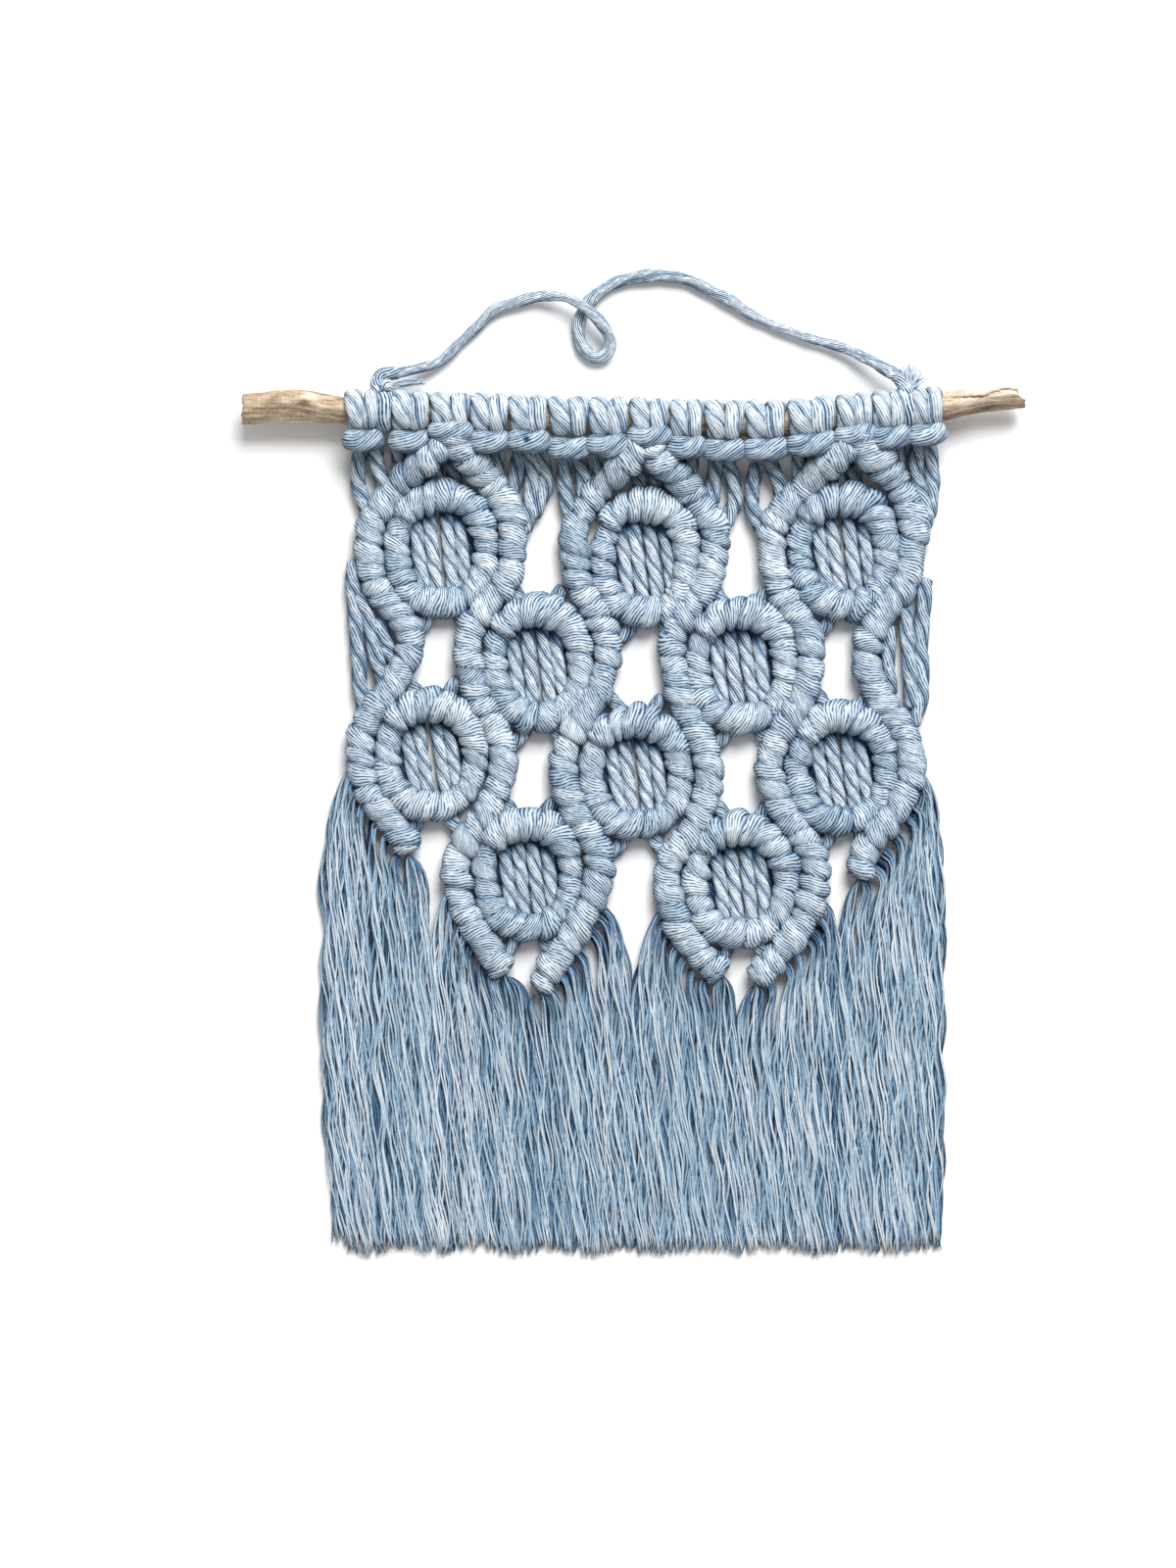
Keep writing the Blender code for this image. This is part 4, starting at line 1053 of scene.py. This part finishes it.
@dataclass
class Ring:
    """Oval ring of half hitches in two arcs, with four twisted cords across its hole."""

    number: int
    finish: bpy.types.Material
    corner: float = 0.018           # how much the oval is drawn out at its corners
    lifted: float = 0.2
    tone_spread: float = 0.02
    cords: int = 4
    spacing: float = 4.3
    middle_gap: float = 0.9
    lean: float = 3.8
    uneven: Triple = (0.3, 0.5, 0.5)        # of the cords' places, of their lean, of their middles
    heights: Pair = (0.15, 0.5)     # least height of the cords over the surface, and how much more
    hidden: float = 4.9             # depth from the ring's centre line to its hole
    hole_tones: Triple = (0.09, -0.9, 2.0)  # tone of the cords, painted shadow at the hole's upper edge, length of its fall
    edge: float = 8.9               # from the hole's middle to the low dark cord at its side, which stands in for shade
    edge_ends: Pair = (1.4, 3.0)    # how far its ends are inwards and short of the ring's centre line
    edge_height: float = 0.2
    # painted shade: tone of the low side cords
    edge_shade: float = -0.55
    stub_height: float = 2.1
    stub_shift: float = 0.4
    stub_tone: float = -0.06

    def arc(self, arc: Arc, rng: np.random.Generator) -> Skin:
        """One arc of hitches.

        The line is an ellipse drawn out a little at its corners: its radius grows there by a
        small share, with the cosine of four times the angle.

        Args:
            arc: which arc it is.
            rng: source of the hitches' differences.

        Returns:
            The arc's skin.
        """
        x, y, half_width, half_height = RINGS[self.number]
        angle = np.radians(np.linspace(arc.start, arc.end, 40))
        grow = 1.0 + self.corner * (1.0 - np.cos(4 * angle))
        line = np.column_stack([x + half_width * grow * np.cos(angle),
                                y + half_height * grow * np.sin(angle)])
        path = smooth_path(line, RING_HITCHES.step)
        share = np.linspace(0.0, 1.0, len(path))
        size = table_at(share, arc.sizes)
        rise = RING_HITCHES.half_height * size + self.lifted + table_at(share, arc.lifts)
        return hitch_skin(with_height(path, 0.0) + FRONT * rise[:, None], RING_HITCHES, rng, size,
                          tone=rng.normal(0.0, self.tone_spread))

    def hole_cords(self, rng: np.random.Generator) -> list[Skin]:
        """Twisted cords that cross the hole from top to bottom, leaning to the right, with painted shadow
        under the hole's upper edge, and a low dark cord at each side that stands in for the shade there.
        """
        x, y, half_width, half_height = RINGS[self.number]
        apart, leaning, bent = self.uneven
        tone, shaded, fading = self.hole_tones
        skins = []
        for cord in range(self.cords):
            place = cord - (self.cords - 1) / 2
            across = place * self.spacing + np.sign(place) * self.middle_gap / 2 + rng.uniform(-apart, apart)
            reach = half_height * math.sqrt(1.0 - (across / half_width) ** 2)
            lean = self.lean / 2 + rng.uniform(-leaning, leaning)
            height = HOLE_LAY.height / 2 + self.heights[0] + rng.uniform(0.0, self.heights[1])
            line = ((x + across - lean, y + reach, height),
                    (x + across + rng.uniform(-bent, bent), y, height),
                    (x + across + lean, y - reach, height))
            path = smooth_path(line, HOLE_LAY.step)
            # painted shadow of the ring's upper arc, fading down from the top of the hole
            fall = np.maximum(y + reach - self.hidden - path[:, 1], 0.0)
            skins.append(cord_skin(path, HOLE_LAY, rng, tone=tone + shaded * np.exp(-fall / fading)))
        # a low dark cord at each side of the hole stands in for the shade there
        inwards, short = self.edge_ends
        for sign in (-1, 1):
            line = ((x + sign * (self.edge - inwards), y + half_height - short), (x + sign * self.edge, y),
                    (x + sign * (self.edge - inwards), y - half_height + short))
            path = smooth_path(with_height(line, BACK_LAY.height / 2 + self.edge_height), BACK_LAY.step)
            skins.append(cord_skin(path, BACK_LAY, rng, tone=self.edge_shade))
        return skins

    def stubs(self, rng: np.random.Generator) -> list[Skin]:
        """Short low cords at the corners of the openings above and below the ring."""
        x, y, _, _ = RINGS[self.number]
        upper = APEX_BITS if self.number < FIRST_ROW else TOP_STUBS
        skins = []
        for line in (*upper, *FOOT_STUBS):
            points = np.array(line) + (x, y)
            points = points + rng.uniform(-self.stub_shift, self.stub_shift, points.shape)
            path = smooth_path(with_height(points, self.stub_height), STUB_LAY.step)
            skins.append(cord_skin(path, STUB_LAY, rng, tone=self.stub_tone))
        return skins

    def build(self) -> None:
        """Make the ring's two pieces, its knots and the cords in its hole."""
        rng = np.random.default_rng([SEED, 3, self.number])
        knots = [self.arc(UPPER_ARC, rng), self.arc(LOWER_ARC, rng), *self.stubs(rng)]
        name = self.number + 1
        weld(f"ring_{name}", knots, self.finish, Slot.KNOTS, "knotted_panel")
        weld(f"ring_{name}_cords", self.hole_cords(rng), self.finish, Slot.KNOTS, "knotted_panel")


# ---------------------------------------------------------------- free cords between the knots
FREE_CORDS = {              # x, y of each free stretch, from its upper to its lower end
    "upper": (
        ((-86.5, 112.7), (-87.4, 107.7), (-87.1, 102.8), (-85.3, 97.2)),
        ((-81.5, 112.7), (-80.9, 107.7), (-79.4, 104.3)),
        ((-74.4, 112.7), (-73.8, 109.3)),
        ((-43.1, 112.7), (-43.4, 108.0)),
        ((-36.3, 111.8), (-37.8, 103.7), (-38.8, 100.3)),
        ((-33.2, 111.8), (-31.9, 107.1), (-33.2, 95.9), (-34.1, 90.4)),
        ((-29.1, 111.8), (-28.2, 106.5), (-28.2, 101.5), (-31.0, 95.0)),
        ((-22.0, 109.9), (-22.0, 103.7), (-21.4, 98.1), (-19.8, 92.5)),
        ((-17.1, 109.9), (-15.8, 103.7), (-16.4, 99.4)),
        ((-10.9, 111.1), (-10.9, 107.1)),
        ((18.0, 109.3), (18.0, 104.9)),
        ((25.7, 109.3), (25.1, 103.7), (24.8, 99.4)),
        ((29.8, 109.3), (31.3, 103.7), (31.9, 98.1), (29.8, 92.5)),
        ((38.1, 106.5), (37.2, 100.9), (37.2, 95.9), (39.4, 90.4)),
        ((43.7, 108.3), (45.6, 103.7), (46.2, 100.9)),
        ((52.1, 110.5), (52.1, 107.1)),
        ((84.0, 112.7), (83.4, 108.7)),
        ((89.6, 113.6), (89.0, 108.3), (89.9, 102.8), (91.8, 97.2), (91.8, 91.6)),
        ((93.3, 113.6), (93.9, 108.3), (94.2, 102.1), (93.3, 95.0)),
    ),
    "left": (
        ((-88.7, 75.8), (-88.7, 70.2), (-87.7, 56.6), (-87.1, 48.2), (-86.5, 39.2), (-85.3, 32.4)),
        ((-85.9, 65.3), (-83.7, 59.4), (-82.2, 51.9), (-80.9, 46.3), (-78.7, 40.5)),
        ((-80.0, 57.5), (-78.1, 51.9), (-76.0, 47.6)),
    ),
    "right": (
        ((91.8, 70.2), (91.1, 61.2), (90.5, 52.5), (90.8, 43.9), (90.5, 35.2), (88.7, 29.3)),
        ((85.9, 61.2), (86.5, 52.5), (87.1, 43.9), (87.7, 35.2)),
        ((80.6, 55.5), (80.0, 46.7), (80.6, 39.1)),
    ),
}


@dataclass
class FreeCords:
    """Cords that run free between the heads and the bars, or beside a bar's waist."""

    place: str
    finish: bpy.types.Material
    tuck: float = 3.4               # how far its ends go into their knots
    heights: Pair = (0.6, 0.5)      # of the lower edge of each cord, and how much more of every second one
    upper_turn: float = 24.0        # length of one full twist under the heads
    tones: Pair = (-0.03, 0.03)     # mean and spread

    def build(self) -> None:
        """Make one piece of all the free cords of this place."""
        rng = np.random.default_rng([SEED, 4, list(FREE_CORDS).index(self.place)])
        lay = replace(FREE_LAY, turn=self.upper_turn) if self.place == "upper" else FREE_LAY
        skins = []
        for index, line in enumerate(FREE_CORDS[self.place]):
            height = lay.height / 2 + self.heights[0] + self.heights[1] * (index % 2)
            path = smooth_path(with_height(lengthened(line, self.tuck), height), lay.step)
            skins.append(cord_skin(path, lay, rng, tone=rng.normal(*self.tones)))
        weld(f"free_cords_{self.place}", skins, self.finish, Slot.KNOTS, "knotted_panel")


# ---------------------------------------------------------------- fringe
ROOTS = {                   # line of the roots along each lower diagonal: x, y
    "a": ((-90.8, 16.0), (-89.5, 4.0), (-82.5, -7.5), (-76.5, -16.5), (-67.3, -17.8)),
    "b": ((-61.0, -25.3), (-57.4, -38.0), (-52.0, -47.8), (-45.8, -55.0), (-35.6, -54.8)),
    "c": ((-34.3, -61.5), (-26.0, -57.8), (-19.1, -49.2), (-12.8, -41.7), (-7.6, -31.5)),
    "d": ((5.9, -31.5), (8.0, -40.8), (13.0, -49.0), (19.3, -56.0), (30.6, -55.6)),
    "e": ((35.4, -59.2), (44.3, -55.7), (52.7, -47.7), (58.8, -40.1), (61.3, -29.0)),
    "f": ((67.7, -26.0), (77.4, -20.5), (84.9, -9.9), (90.6, -0.7), (91.7, 12.6)),
}
FRINGE_ENDS = {             # x of the combed yarns halfway down: left, right
    "a": (-98.3, -65.0),
    "b": (-64.4, -32.8),
    "c": (-32.4, -1.0),
    "d": (-0.4, 31.8),
    "e": (31.8, 65.4),
    "f": (65.4, 97.2),
}
FRINGE_END_Y = -138.6


@dataclass
class Fringe:
    """One group of combed yarns: out from under a bar, over in an arch and down side by side.

    A fall is the length over which something dies away on the way down.
    """

    name: str
    finish: bpy.types.Material
    yarns: int = 160
    rows: int = 44
    closer: float = 1.12            # power that draws the points of a yarn together at its root
    bunches: int = 9
    spread: float = 1.12            # share of the root line that the bunches take up
    bunch_shift: float = 0.25       # of a whole bunch, in bunches
    bunch_width: float = 0.14       # of the yarns of one bunch, in bunches
    layers: int = 4
    crossed: float = 0.9            # how far yarns can be out of the order of their roots
    uneven: float = 0.25            # of the places in the combed row
    tucked: float = 3.4             # how far a yarn starts under the bar
    cut: Pair = (-1.4, 2.6)         # how much higher than the cut line a yarn can end
    cut_wave: Pair = (0.9, 4.3)     # height of a wave in the cut line, length of one radian of it
    left_cut: Triple = (-92.0, 6.0, 2.4)    # left of x, over a length: how much higher the yarns end
    arch: Triple = (2.6, 2.5, 2.3)  # how far out it goes, how much more to the right, fall
    settling: Triple = (15.0, 8.0, 1.4)     # fall, how much less for the lowest roots, power
    lowest_roots: float = 9.0       # height of the lowest roots, in which they count less and less
    lower_part: Triple = (-70.0, 68.0, 1.6)     # below y, over a height, power
    drift: Points = ((-99.0, 4.6), (-80.0, 2.2), (-40.0, 1.6), (60.0, 1.2), (98.0, -0.9))
    loose: Pair = (3.0, 16.0)       # from how far down and over what length the coils and waves grow
    coil: Pair = (28.0, 44.0)       # length of one turn of a yarn's leftover twist
    slope: float = 0.2              # slope of the front of a turn
    coil_height: float = 0.36
    wave: Pair = (0.22, 24.0)       # depth and length of the waves in step
    wave_starts: Points = ((1.1, 7.3), (0.5, 2.9))      # how much they change along x, length of one radian
    wave_spread: float = 0.35
    wander: float = 0.34
    wander_length: Pair = (45.0, 90.0)
    radius: float = 0.43
    radius_spread: Pair = (0.84, 1.14)
    thin_share: float = 0.3         # share of the yarns that are thin ones
    thin_radius: float = 0.28
    thin_higher: float = 0.3
    level: Pair = (1.2, 0.34)       # height of the lowest layer on the surface, and from layer to layer
    base: Triple = (1.3, 0.9, 14.0)         # the same at the roots, and fall
    hump: Triple = (1.2, 4.0, 4.0)  # height, how far down, width
    flatter: float = 0.25           # share of the height that the lower part lacks
    end_taper: Triple = (0.96, 0.04, 0.3)   # from a share of the length, over a share: less radius
    layer_tones: Triple = (0.14, 2.6, 0.07)     # painted shade from layer to layer up the pile, layer without a change, random spread
    thin_tone: float = 0.2
    # painted light on the high part of each coil turn and painted shade on its low part
    coil_shading: float = 0.12
    palest: float = 0.3
    root_shade: Pair = (0.4, 5.0)   # darkness and fall
    end_tone: Triple = (0.97, 0.03, 0.2)    # from a share of the length, over a share: more tone

    def roots(self, place: Array) -> tuple[Array, Array]:
        """Root points at shares of the root line, and the directions away from the bar."""
        line = smooth_path(ROOTS[self.name], 0.5)
        bar = smooth_path(BARS[self.name], 1.0)
        share = lengths(line) / lengths(line)[-1]
        root = np.stack([np.interp(place, share, column) for column in line.T], axis=1)
        offset = root[:, None, :] - bar[None, :, :]
        nearest = np.argmin(np.linalg.norm(offset, axis=2), axis=1)
        return root, unit(offset[np.arange(len(root)), nearest])

    def placed(self, rng: np.random.Generator) -> tuple[Array, Array, Array, Array]:
        """Place the yarns in bunches along the root line, and side by side in the combed row.

        Args:
            rng: source of the yarns' differences.

        Returns:
            For every yarn its root, its direction away from the bar, its layer, and its x in the
            combed row halfway down.
        """
        bunch = np.arange(self.yarns) % self.bunches
        shift = rng.uniform(-self.bunch_shift, self.bunch_shift, self.bunches)[bunch]
        place = (bunch + 0.5 + shift + rng.normal(0.0, self.bunch_width, self.yarns)) / self.bunches
        root, away = self.roots(np.clip(0.5 + self.spread * (place - 0.5), 0.0, 1.0))
        layer = rng.permutation(np.arange(self.yarns) % self.layers)
        left, right = FRINGE_ENDS[self.name]
        rank = np.argsort(np.argsort(root[:, 0] + rng.normal(0.0, self.crossed, self.yarns)))
        row = left + (right - left) * (rank + 0.5) / self.yarns
        return root, away, layer, row + rng.normal(0.0, self.uneven, self.yarns)

    def skin(self) -> Skin:
        """Work out the yarns.

        A yarn starts under the bar, goes out along the bar's normal, and settles towards its place in the
        combed row as one less an exponential of the way down. It keeps a loose coil from the cord's twist:
        sideways it goes as the sine and in height as the cosine of a turn for each coil's length, so that the
        front of every turn runs down to the right, and a sine wave swings it in step with its neighbours. The
        lower a place lies in the pile, the darker it is painted, as shade, and each coil is painted lighter
        where it rises and darker where it sinks.

        Returns:
            The yarns' skin.
        """
        order = list(ROOTS).index(self.name)
        rng = np.random.default_rng([SEED, 5, order])
        root, away, layer, row = self.placed(rng)
        each = (self.yarns, 1)

        t = np.linspace(0.0, 1.0, self.rows)[None, :] ** self.closer
        start = root - away * self.tucked
        end_y = FRINGE_END_Y + rng.uniform(*self.cut, self.yarns)
        end_y = end_y + self.cut_wave[0] * np.sin(row / self.cut_wave[1] + order)
        left_of, over, higher = self.left_cut
        end_y = end_y + higher * np.clip((left_of - row) / over, 0.0, 1.0)
        y = start[:, 1:2] + (end_y - start[:, 1])[:, None] * t
        down = np.maximum(start[:, 1:2] - y, 0.0)

        reach, more, fall = self.arch
        outwards = reach + more * np.maximum(away[:, 0:1], 0.0)
        arch = away[:, 0:1] * outwards * (1.0 - np.exp(-down / fall))
        fall, less, power = self.settling
        lowest = np.clip(1.0 - (root[:, 1:2] - root[:, 1].min()) / self.lowest_roots, 0.0, 1.0)
        settled = 1.0 - np.exp(-(down / (fall - less * lowest)) ** power)
        x = start[:, 0:1] + arch + (row[:, None] - start[:, 0:1] - arch) * settled
        below, over, power = self.lower_part
        lower = np.clip((below - y) / over, 0.0, 1.0) ** power
        x = x + table_at(row, self.drift)[:, None] * lower

        grown = np.clip((down - self.loose[0]) / self.loose[1], 0.0, 1.0)
        coil = rng.uniform(*self.coil, each)
        swing = TAU * down / coil + rng.uniform(0.0, TAU, each)
        (much, long), (little, short) = self.wave_starts
        in_step = (much * np.sin(row / long + order) + little * np.sin(row / short))[:, None]
        wave = TAU * y / self.wave[1] + in_step + rng.normal(0.0, self.wave_spread, each)
        wander = TAU * y / rng.uniform(*self.wander_length, each) + rng.uniform(0.0, TAU, each)
        x = x + grown * (self.slope * coil / TAU * np.sin(swing) + self.wave[0] * np.sin(wave)
                         + self.wander * np.sin(wander))

        thin = rng.random(self.yarns) < self.thin_share
        radius = np.where(thin, self.thin_radius, self.radius * rng.uniform(*self.radius_spread, self.yarns))
        level = self.level[0] + self.level[1] * layer + self.thin_higher * thin
        base = self.base[0] + self.base[1] * layer
        z = level[:, None] + (base - level)[:, None] * np.exp(-down / self.base[2])
        z = z + self.hump[0] * bell((down - self.hump[1]) / self.hump[2])
        z = z + self.coil_height * grown * np.cos(swing)
        z = np.maximum(z * (1.0 - self.flatter * lower), radius[:, None] + LOWEST)
        share, over, less = self.end_taper
        radii = radius[:, None] * (1.0 - less * np.clip((t - share) / over, 0.0, 1.0))

        # painted shade, darker the lower a yarn's layer lies in the pile, and painted light and shade that
        # follow each coil's height
        step, unchanged, spread = self.layer_tones
        pile = step * (layer - unchanged) + rng.normal(0.0, spread, self.yarns) + self.thin_tone * thin
        tones = np.minimum(pile[:, None] + self.coil_shading * np.cos(swing), self.palest)
        tones = tones - self.root_shade[0] * np.exp(-down / self.root_shade[1])
        share, over, more = self.end_tone
        tones = tones + more * np.clip((t - share) / over, 0.0, 1.0)
        return yarn_skin(np.stack([x, y, z], axis=-1), radii, tones)

    def build(self) -> None:
        """Make the group's piece."""
        weld(f"combed_fringe_{self.name}", [self.skin()], self.finish, Slot.COMBED, f"fringe_{self.name}")


# ---------------------------------------------------------------- hanging cord and ties
CORD_PATH = (               # x, y, z of the hanging cord, from the left tie to the right one
    (-76.0, 137.2, 6.5),
    (-71.6, 138.4, 5.2),
    (-66.7, 139.7, 3.8),
    (-61.1, 141.8, 2.6),
    (-54.9, 147.7, 2.1),
    (-49.3, 153.0, 2.1),
    (-44.3, 157.9, 2.1),
    (-36.6, 160.6, 2.3),
    (-29.4, 162.2, 3.3),
    (-21.7, 161.6, 5.2),
    (-15.8, 158.4, 6.4),
    (-10.8, 153.9, 5.6),
    (-7.6, 148.6, 3.8),
    (-8.6, 144.2, 2.4),
    (-12.6, 143.2, 2.1),
    (-16.4, 146.6, 2.1),
    (-17.7, 152.0, 2.1),
    (-16.4, 157.0, 2.1),
    (-12.6, 162.2, 2.1),
    (-5.9, 166.6, 2.1),
    (4.0, 168.8, 2.1),
    (16.4, 167.6, 2.1),
    (28.8, 161.7, 2.1),
    (38.8, 155.5, 2.1),
    (53.6, 149.6, 2.3),
    (66.0, 145.9, 3.2),
    (72.8, 142.6, 4.6),
    (77.6, 139.8, 6.2),
    (82.2, 137.0, 7.4),
)
CORD_LAY = Lay(width=4.6, height=4.0, ply_depth=0.16, yarns=18, yarn_depth=0.3, turn=70.0, sides=40,
               step=0.9)


@dataclass
class HangingCord:
    """Loose cord that the hanging is hung by."""

    finish: bpy.types.Material
    diameter: float = 4.1
    tones: Points = ((0.0, -0.24), (30.0, -0.08), (90.0, -0.04), (140.0, -0.18), (180.0, 0.02),
                     (219.0, -0.2))                 # length along the cord, tone
    sizes: Points = ((0.0, 0.68), (24.0, 0.66), (40.0, 0.76), (54.0, 0.76), (64.0, 0.64), (74.0, 0.82),
                     (112.0, 0.92), (124.0, 0.76), (134.0, 0.9), (145.0, 0.75), (160.0, 0.85), (174.0, 0.64),
                     (194.0, 0.64), (219.0, 0.88))  # length along the cord, share of full size
    uneven: Pair = (0.04, 9.3)      # share and length of small waves in its size

    def build(self) -> None:
        """Make the cord's piece and state its real length."""
        rng = np.random.default_rng([SEED, 6])
        path = smooth_path(CORD_PATH, CORD_LAY.step)
        reach = lengths(path)
        swell = table_at(reach, self.sizes) + self.uneven[0] * np.sin(TAU * reach / self.uneven[1])
        tone = table_at(reach, self.tones)
        skin = cord_skin(path, CORD_LAY, rng, end_radius=1.0, swell=swell, tone=tone)
        piece = weld("loose_hanging_cord", [skin], self.finish, Slot.CORD, "hanging_cord")
        log.info("hanging cord: %.1f mm long", reach[-1])


TIE_LAY = Lay(width=4.8, height=2.4, ply_depth=0.08, yarns=12, yarn_depth=0.24, turn=60.0, sides=28,
              step=0.8)
KNOT_LAY = Lay(width=4.2, height=3.6, ply_depth=0.1, yarns=14, yarn_depth=0.26, turn=40.0, sides=32,
               step=0.5)


@dataclass
class Tie:
    """Loop of cord round the stick with its small knot and its loose yarns."""

    name: str
    finish: bpy.types.Material
    x: float
    lines: tuple[Points, ...]           # x, y, z of the visible turns of the knot
    tones: tuple[float, ...]            # tone of each turn
    tuft_root: Triple
    tuft_ends: Points                   # x, y, z of the yarns at the two edges of the tuft
    tuft_tone: float
    tuft_arch: float = 0.0              # how much further up the middle of the tuft reaches
    yarns: int = 22
    yarn_points: int = 12
    yarn_radii: Pair = (0.32, 0.12)     # at the root, and how much less at the end
    yarn_spread: float = 0.3            # of the roots and of the ends
    yarn_reach: Pair = (0.75, 1.08)     # least and greatest share of the way to the tuft's ends
    yarn_bend: float = 0.5
    lowest: float = 0.5
    loop_arc: float = 170.0             # how far round the stick the loop goes to each side of the top
    loop_reach: float = 5.7
    loop_lean: float = 0.4
    loop_tone: float = -0.22

    def loop(self, rng: np.random.Generator) -> Skin:
        """The turn of cord round the stick."""
        turn = np.radians(np.linspace(-self.loop_arc, self.loop_arc, 17))
        path, outward = round_stick(self.x, stick_at(self.x)[0], 0.0, turn, self.loop_lean * np.cos(turn),
                                    self.loop_reach, TIE_LAY.step)
        return cord_skin(path, TIE_LAY, rng, up=outward, tone=self.loop_tone)

    def tuft(self, rng: np.random.Generator) -> Skin:
        """Loose yarns that fan out from the knot between the two edges, each a soft curve."""
        share = rng.random(self.yarns)
        low, high = np.array(self.tuft_ends)
        ends = low + (high - low) * share[:, None] + rng.normal(0.0, self.yarn_spread, (self.yarns, 3))
        ends[:, 1] += self.tuft_arch * np.sin(math.pi * share)
        root = np.array(self.tuft_root) + rng.normal(0.0, self.yarn_spread, (self.yarns, 3))
        ends = root + (ends - root) * rng.uniform(*self.yarn_reach, self.yarns)[:, None]
        t = np.linspace(0.0, 1.0, self.yarn_points)[None, :, None]
        bend = rng.normal(0.0, self.yarn_bend, (self.yarns, 1, 3)) * np.sin(math.pi * t)
        paths = root[:, None, :] + (ends - root)[:, None, :] * t + bend
        paths[..., 2] = np.maximum(paths[..., 2], self.lowest)
        radii = np.broadcast_to(self.yarn_radii[0] - self.yarn_radii[1] * t[..., 0], paths.shape[:2])
        return yarn_skin(paths, radii, np.full(paths.shape[:2], self.tuft_tone))

    def build(self) -> None:
        """Make the tie's piece."""
        rng = np.random.default_rng([SEED, 7, len(self.name)])
        turns = [cord_skin(smooth_path(line, KNOT_LAY.step), KNOT_LAY, rng, tone=tone)
                 for line, tone in zip(self.lines, self.tones)]
        weld(f"{self.name}_knot", [self.loop(rng), *turns, self.tuft(rng)], self.finish, Slot.CORD, self.name)


def ties(finish: bpy.types.Material) -> list[Tie]:
    """The two ties, left and right."""
    left = Tie("tie_left", finish, -78.5,
               lines=(((-80.4, 131.0, 10.5), (-81.1, 134.2, 8.6), (-79.8, 136.8, 7.4), (-76.6, 137.6, 6.6),
                       (-73.4, 138.1, 5.8)),
                      ((-79.0, 132.2, 10.6), (-77.8, 133.5, 10.4), (-76.6, 133.3, 9.4))),
               tones=(-0.24, 0.0), tuft_root=(-76.8, 133.4, 9.0), tuft_tone=-0.3,
               tuft_ends=((-66.8, 134.0, 2.8), (-66.4, 135.9, 3.8)), yarns=13)
    right = Tie("tie_right", finish, 86.4,
                lines=(((79.6, 138.7, 7.0), (82.2, 137.0, 7.6), (84.2, 134.6, 9.4), (85.8, 131.8, 11.0),
                        (86.6, 129.6, 11.8)),),
                tones=(-0.16,), tuft_root=(86.4, 132.6, 11.2), tuft_tone=-0.26, tuft_arch=2.6,
                tuft_ends=((83.6, 138.8, 9.5), (91.8, 135.6, 9.5)), yarns=24)
    return [left, right]


# ---------------------------------------------------------------- studio
@dataclass
class Studio:
    """Camera straight above, a plain white surface, and soft light from the top of the view."""

    sensor: float = 36.0
    key_distance: float = 2200.0
    key_size: float = 1250.0
    key_power: float = 72.0
    key_from: Triple = (0.3, 1.0, 1.05)
    fill: float = 0.48
    surface_width: float = 6000.0
    surface_z: float = -0.2
    surface_white: Triple = (0.9, 0.9, 0.9)
    surface_roughness: float = 0.9

    def build_camera(self) -> None:
        """Place the camera so that its height covers the photograph's height on the surface."""
        data = bpy.data.cameras.new("camera")
        data.sensor_width = self.sensor
        data.lens = self.sensor * CAMERA_HEIGHT / PHOTO_HEIGHT
        camera = bpy.data.objects.new("camera", data)
        camera.location = (*(value * METRE for value in PHOTO_MIDDLE), CAMERA_HEIGHT * METRE)
        bpy.context.scene.collection.objects.link(camera)
        bpy.context.scene.camera = camera

    def build_surface(self) -> None:
        """Make the plain surface that the hanging lies on."""
        half, z = self.surface_width / 2 * METRE, self.surface_z * METRE
        mesh = bpy.data.meshes.new("surface")
        mesh.from_pydata([(-half, -half, z), (half, -half, z), (half, half, z), (-half, half, z)], [],
                         [(0, 1, 2, 3)])
        graph = Graph("white_surface", roughness=self.surface_roughness)
        graph.shader.inputs["Base Color"].default_value = (*self.surface_white, 1.0)
        mesh.materials.append(graph.material)
        surface = bpy.data.objects.new("surface", mesh)
        bpy.context.scene.collection.objects.link(surface)

    def build_lights(self) -> None:
        """One soft light from the top of the view and an even fill."""
        away = unit(np.array(self.key_from))
        data = bpy.data.lights.new("soft_light", "AREA")
        data.size = self.key_size * METRE
        data.energy = self.key_power
        light = bpy.data.objects.new("soft_light", data)
        light.location = tuple(away * self.key_distance * METRE)
        turn = np.arctan2(away[1], away[0])
        light.rotation_euler = (0.0, math.acos(away[2]), turn)
        bpy.context.scene.collection.objects.link(light)
        world = bpy.data.worlds.new("even_fill")
        world.use_nodes = True
        world.node_tree.nodes["Background"].inputs["Color"].default_value = (1.0, 1.0, 1.0, 1.0)
        world.node_tree.nodes["Background"].inputs["Strength"].default_value = self.fill
        bpy.context.scene.world = world
        bpy.context.scene.view_settings.view_transform = "Standard"


def main() -> None:
    """Build the studio, then every piece of the hanging."""
    logging.basicConfig(level=logging.INFO, format="%(name)s %(message)s")
    studio = Studio()
    studio.build_camera()
    cord = Cotton("cord_cotton", middle=linear(148, 171, 190), level=1.0, groove_shade=0.6,
                  line_shade=2.0).material()
    knots = Cotton("knotted_cotton").material()
    heads = Cotton("looped_cotton", middle=linear(157, 173, 185), level=0.82, groove_shade=0.62,
                   line_shade=0.92, hair_share=0.5).material()
    combed = Cotton("combed_cotton", shade=linear(78, 115, 146), middle=linear(146, 173, 192), level=0.55,
                    groove_shade=0.4, streak_share=0.5, hair_share=0.45).material()
    HangingCord(cord).build()
    for tie in ties(cord):
        tie.build()
    Stick(DryWood("driftwood").material()).build()
    for number in range(len(HEADS)):
        LarkHead(number, heads).build()
    for name in BARS:
        WavyBar(name, knots).build()
    for number in range(len(RINGS)):
        Ring(number, knots).build()
    for place in FREE_CORDS:
        FreeCords(place, knots).build()
    for name in ROOTS:
        Fringe(name, combed).build()
    studio.build_surface()
    studio.build_lights()


if __name__ == "__main__":
    main()
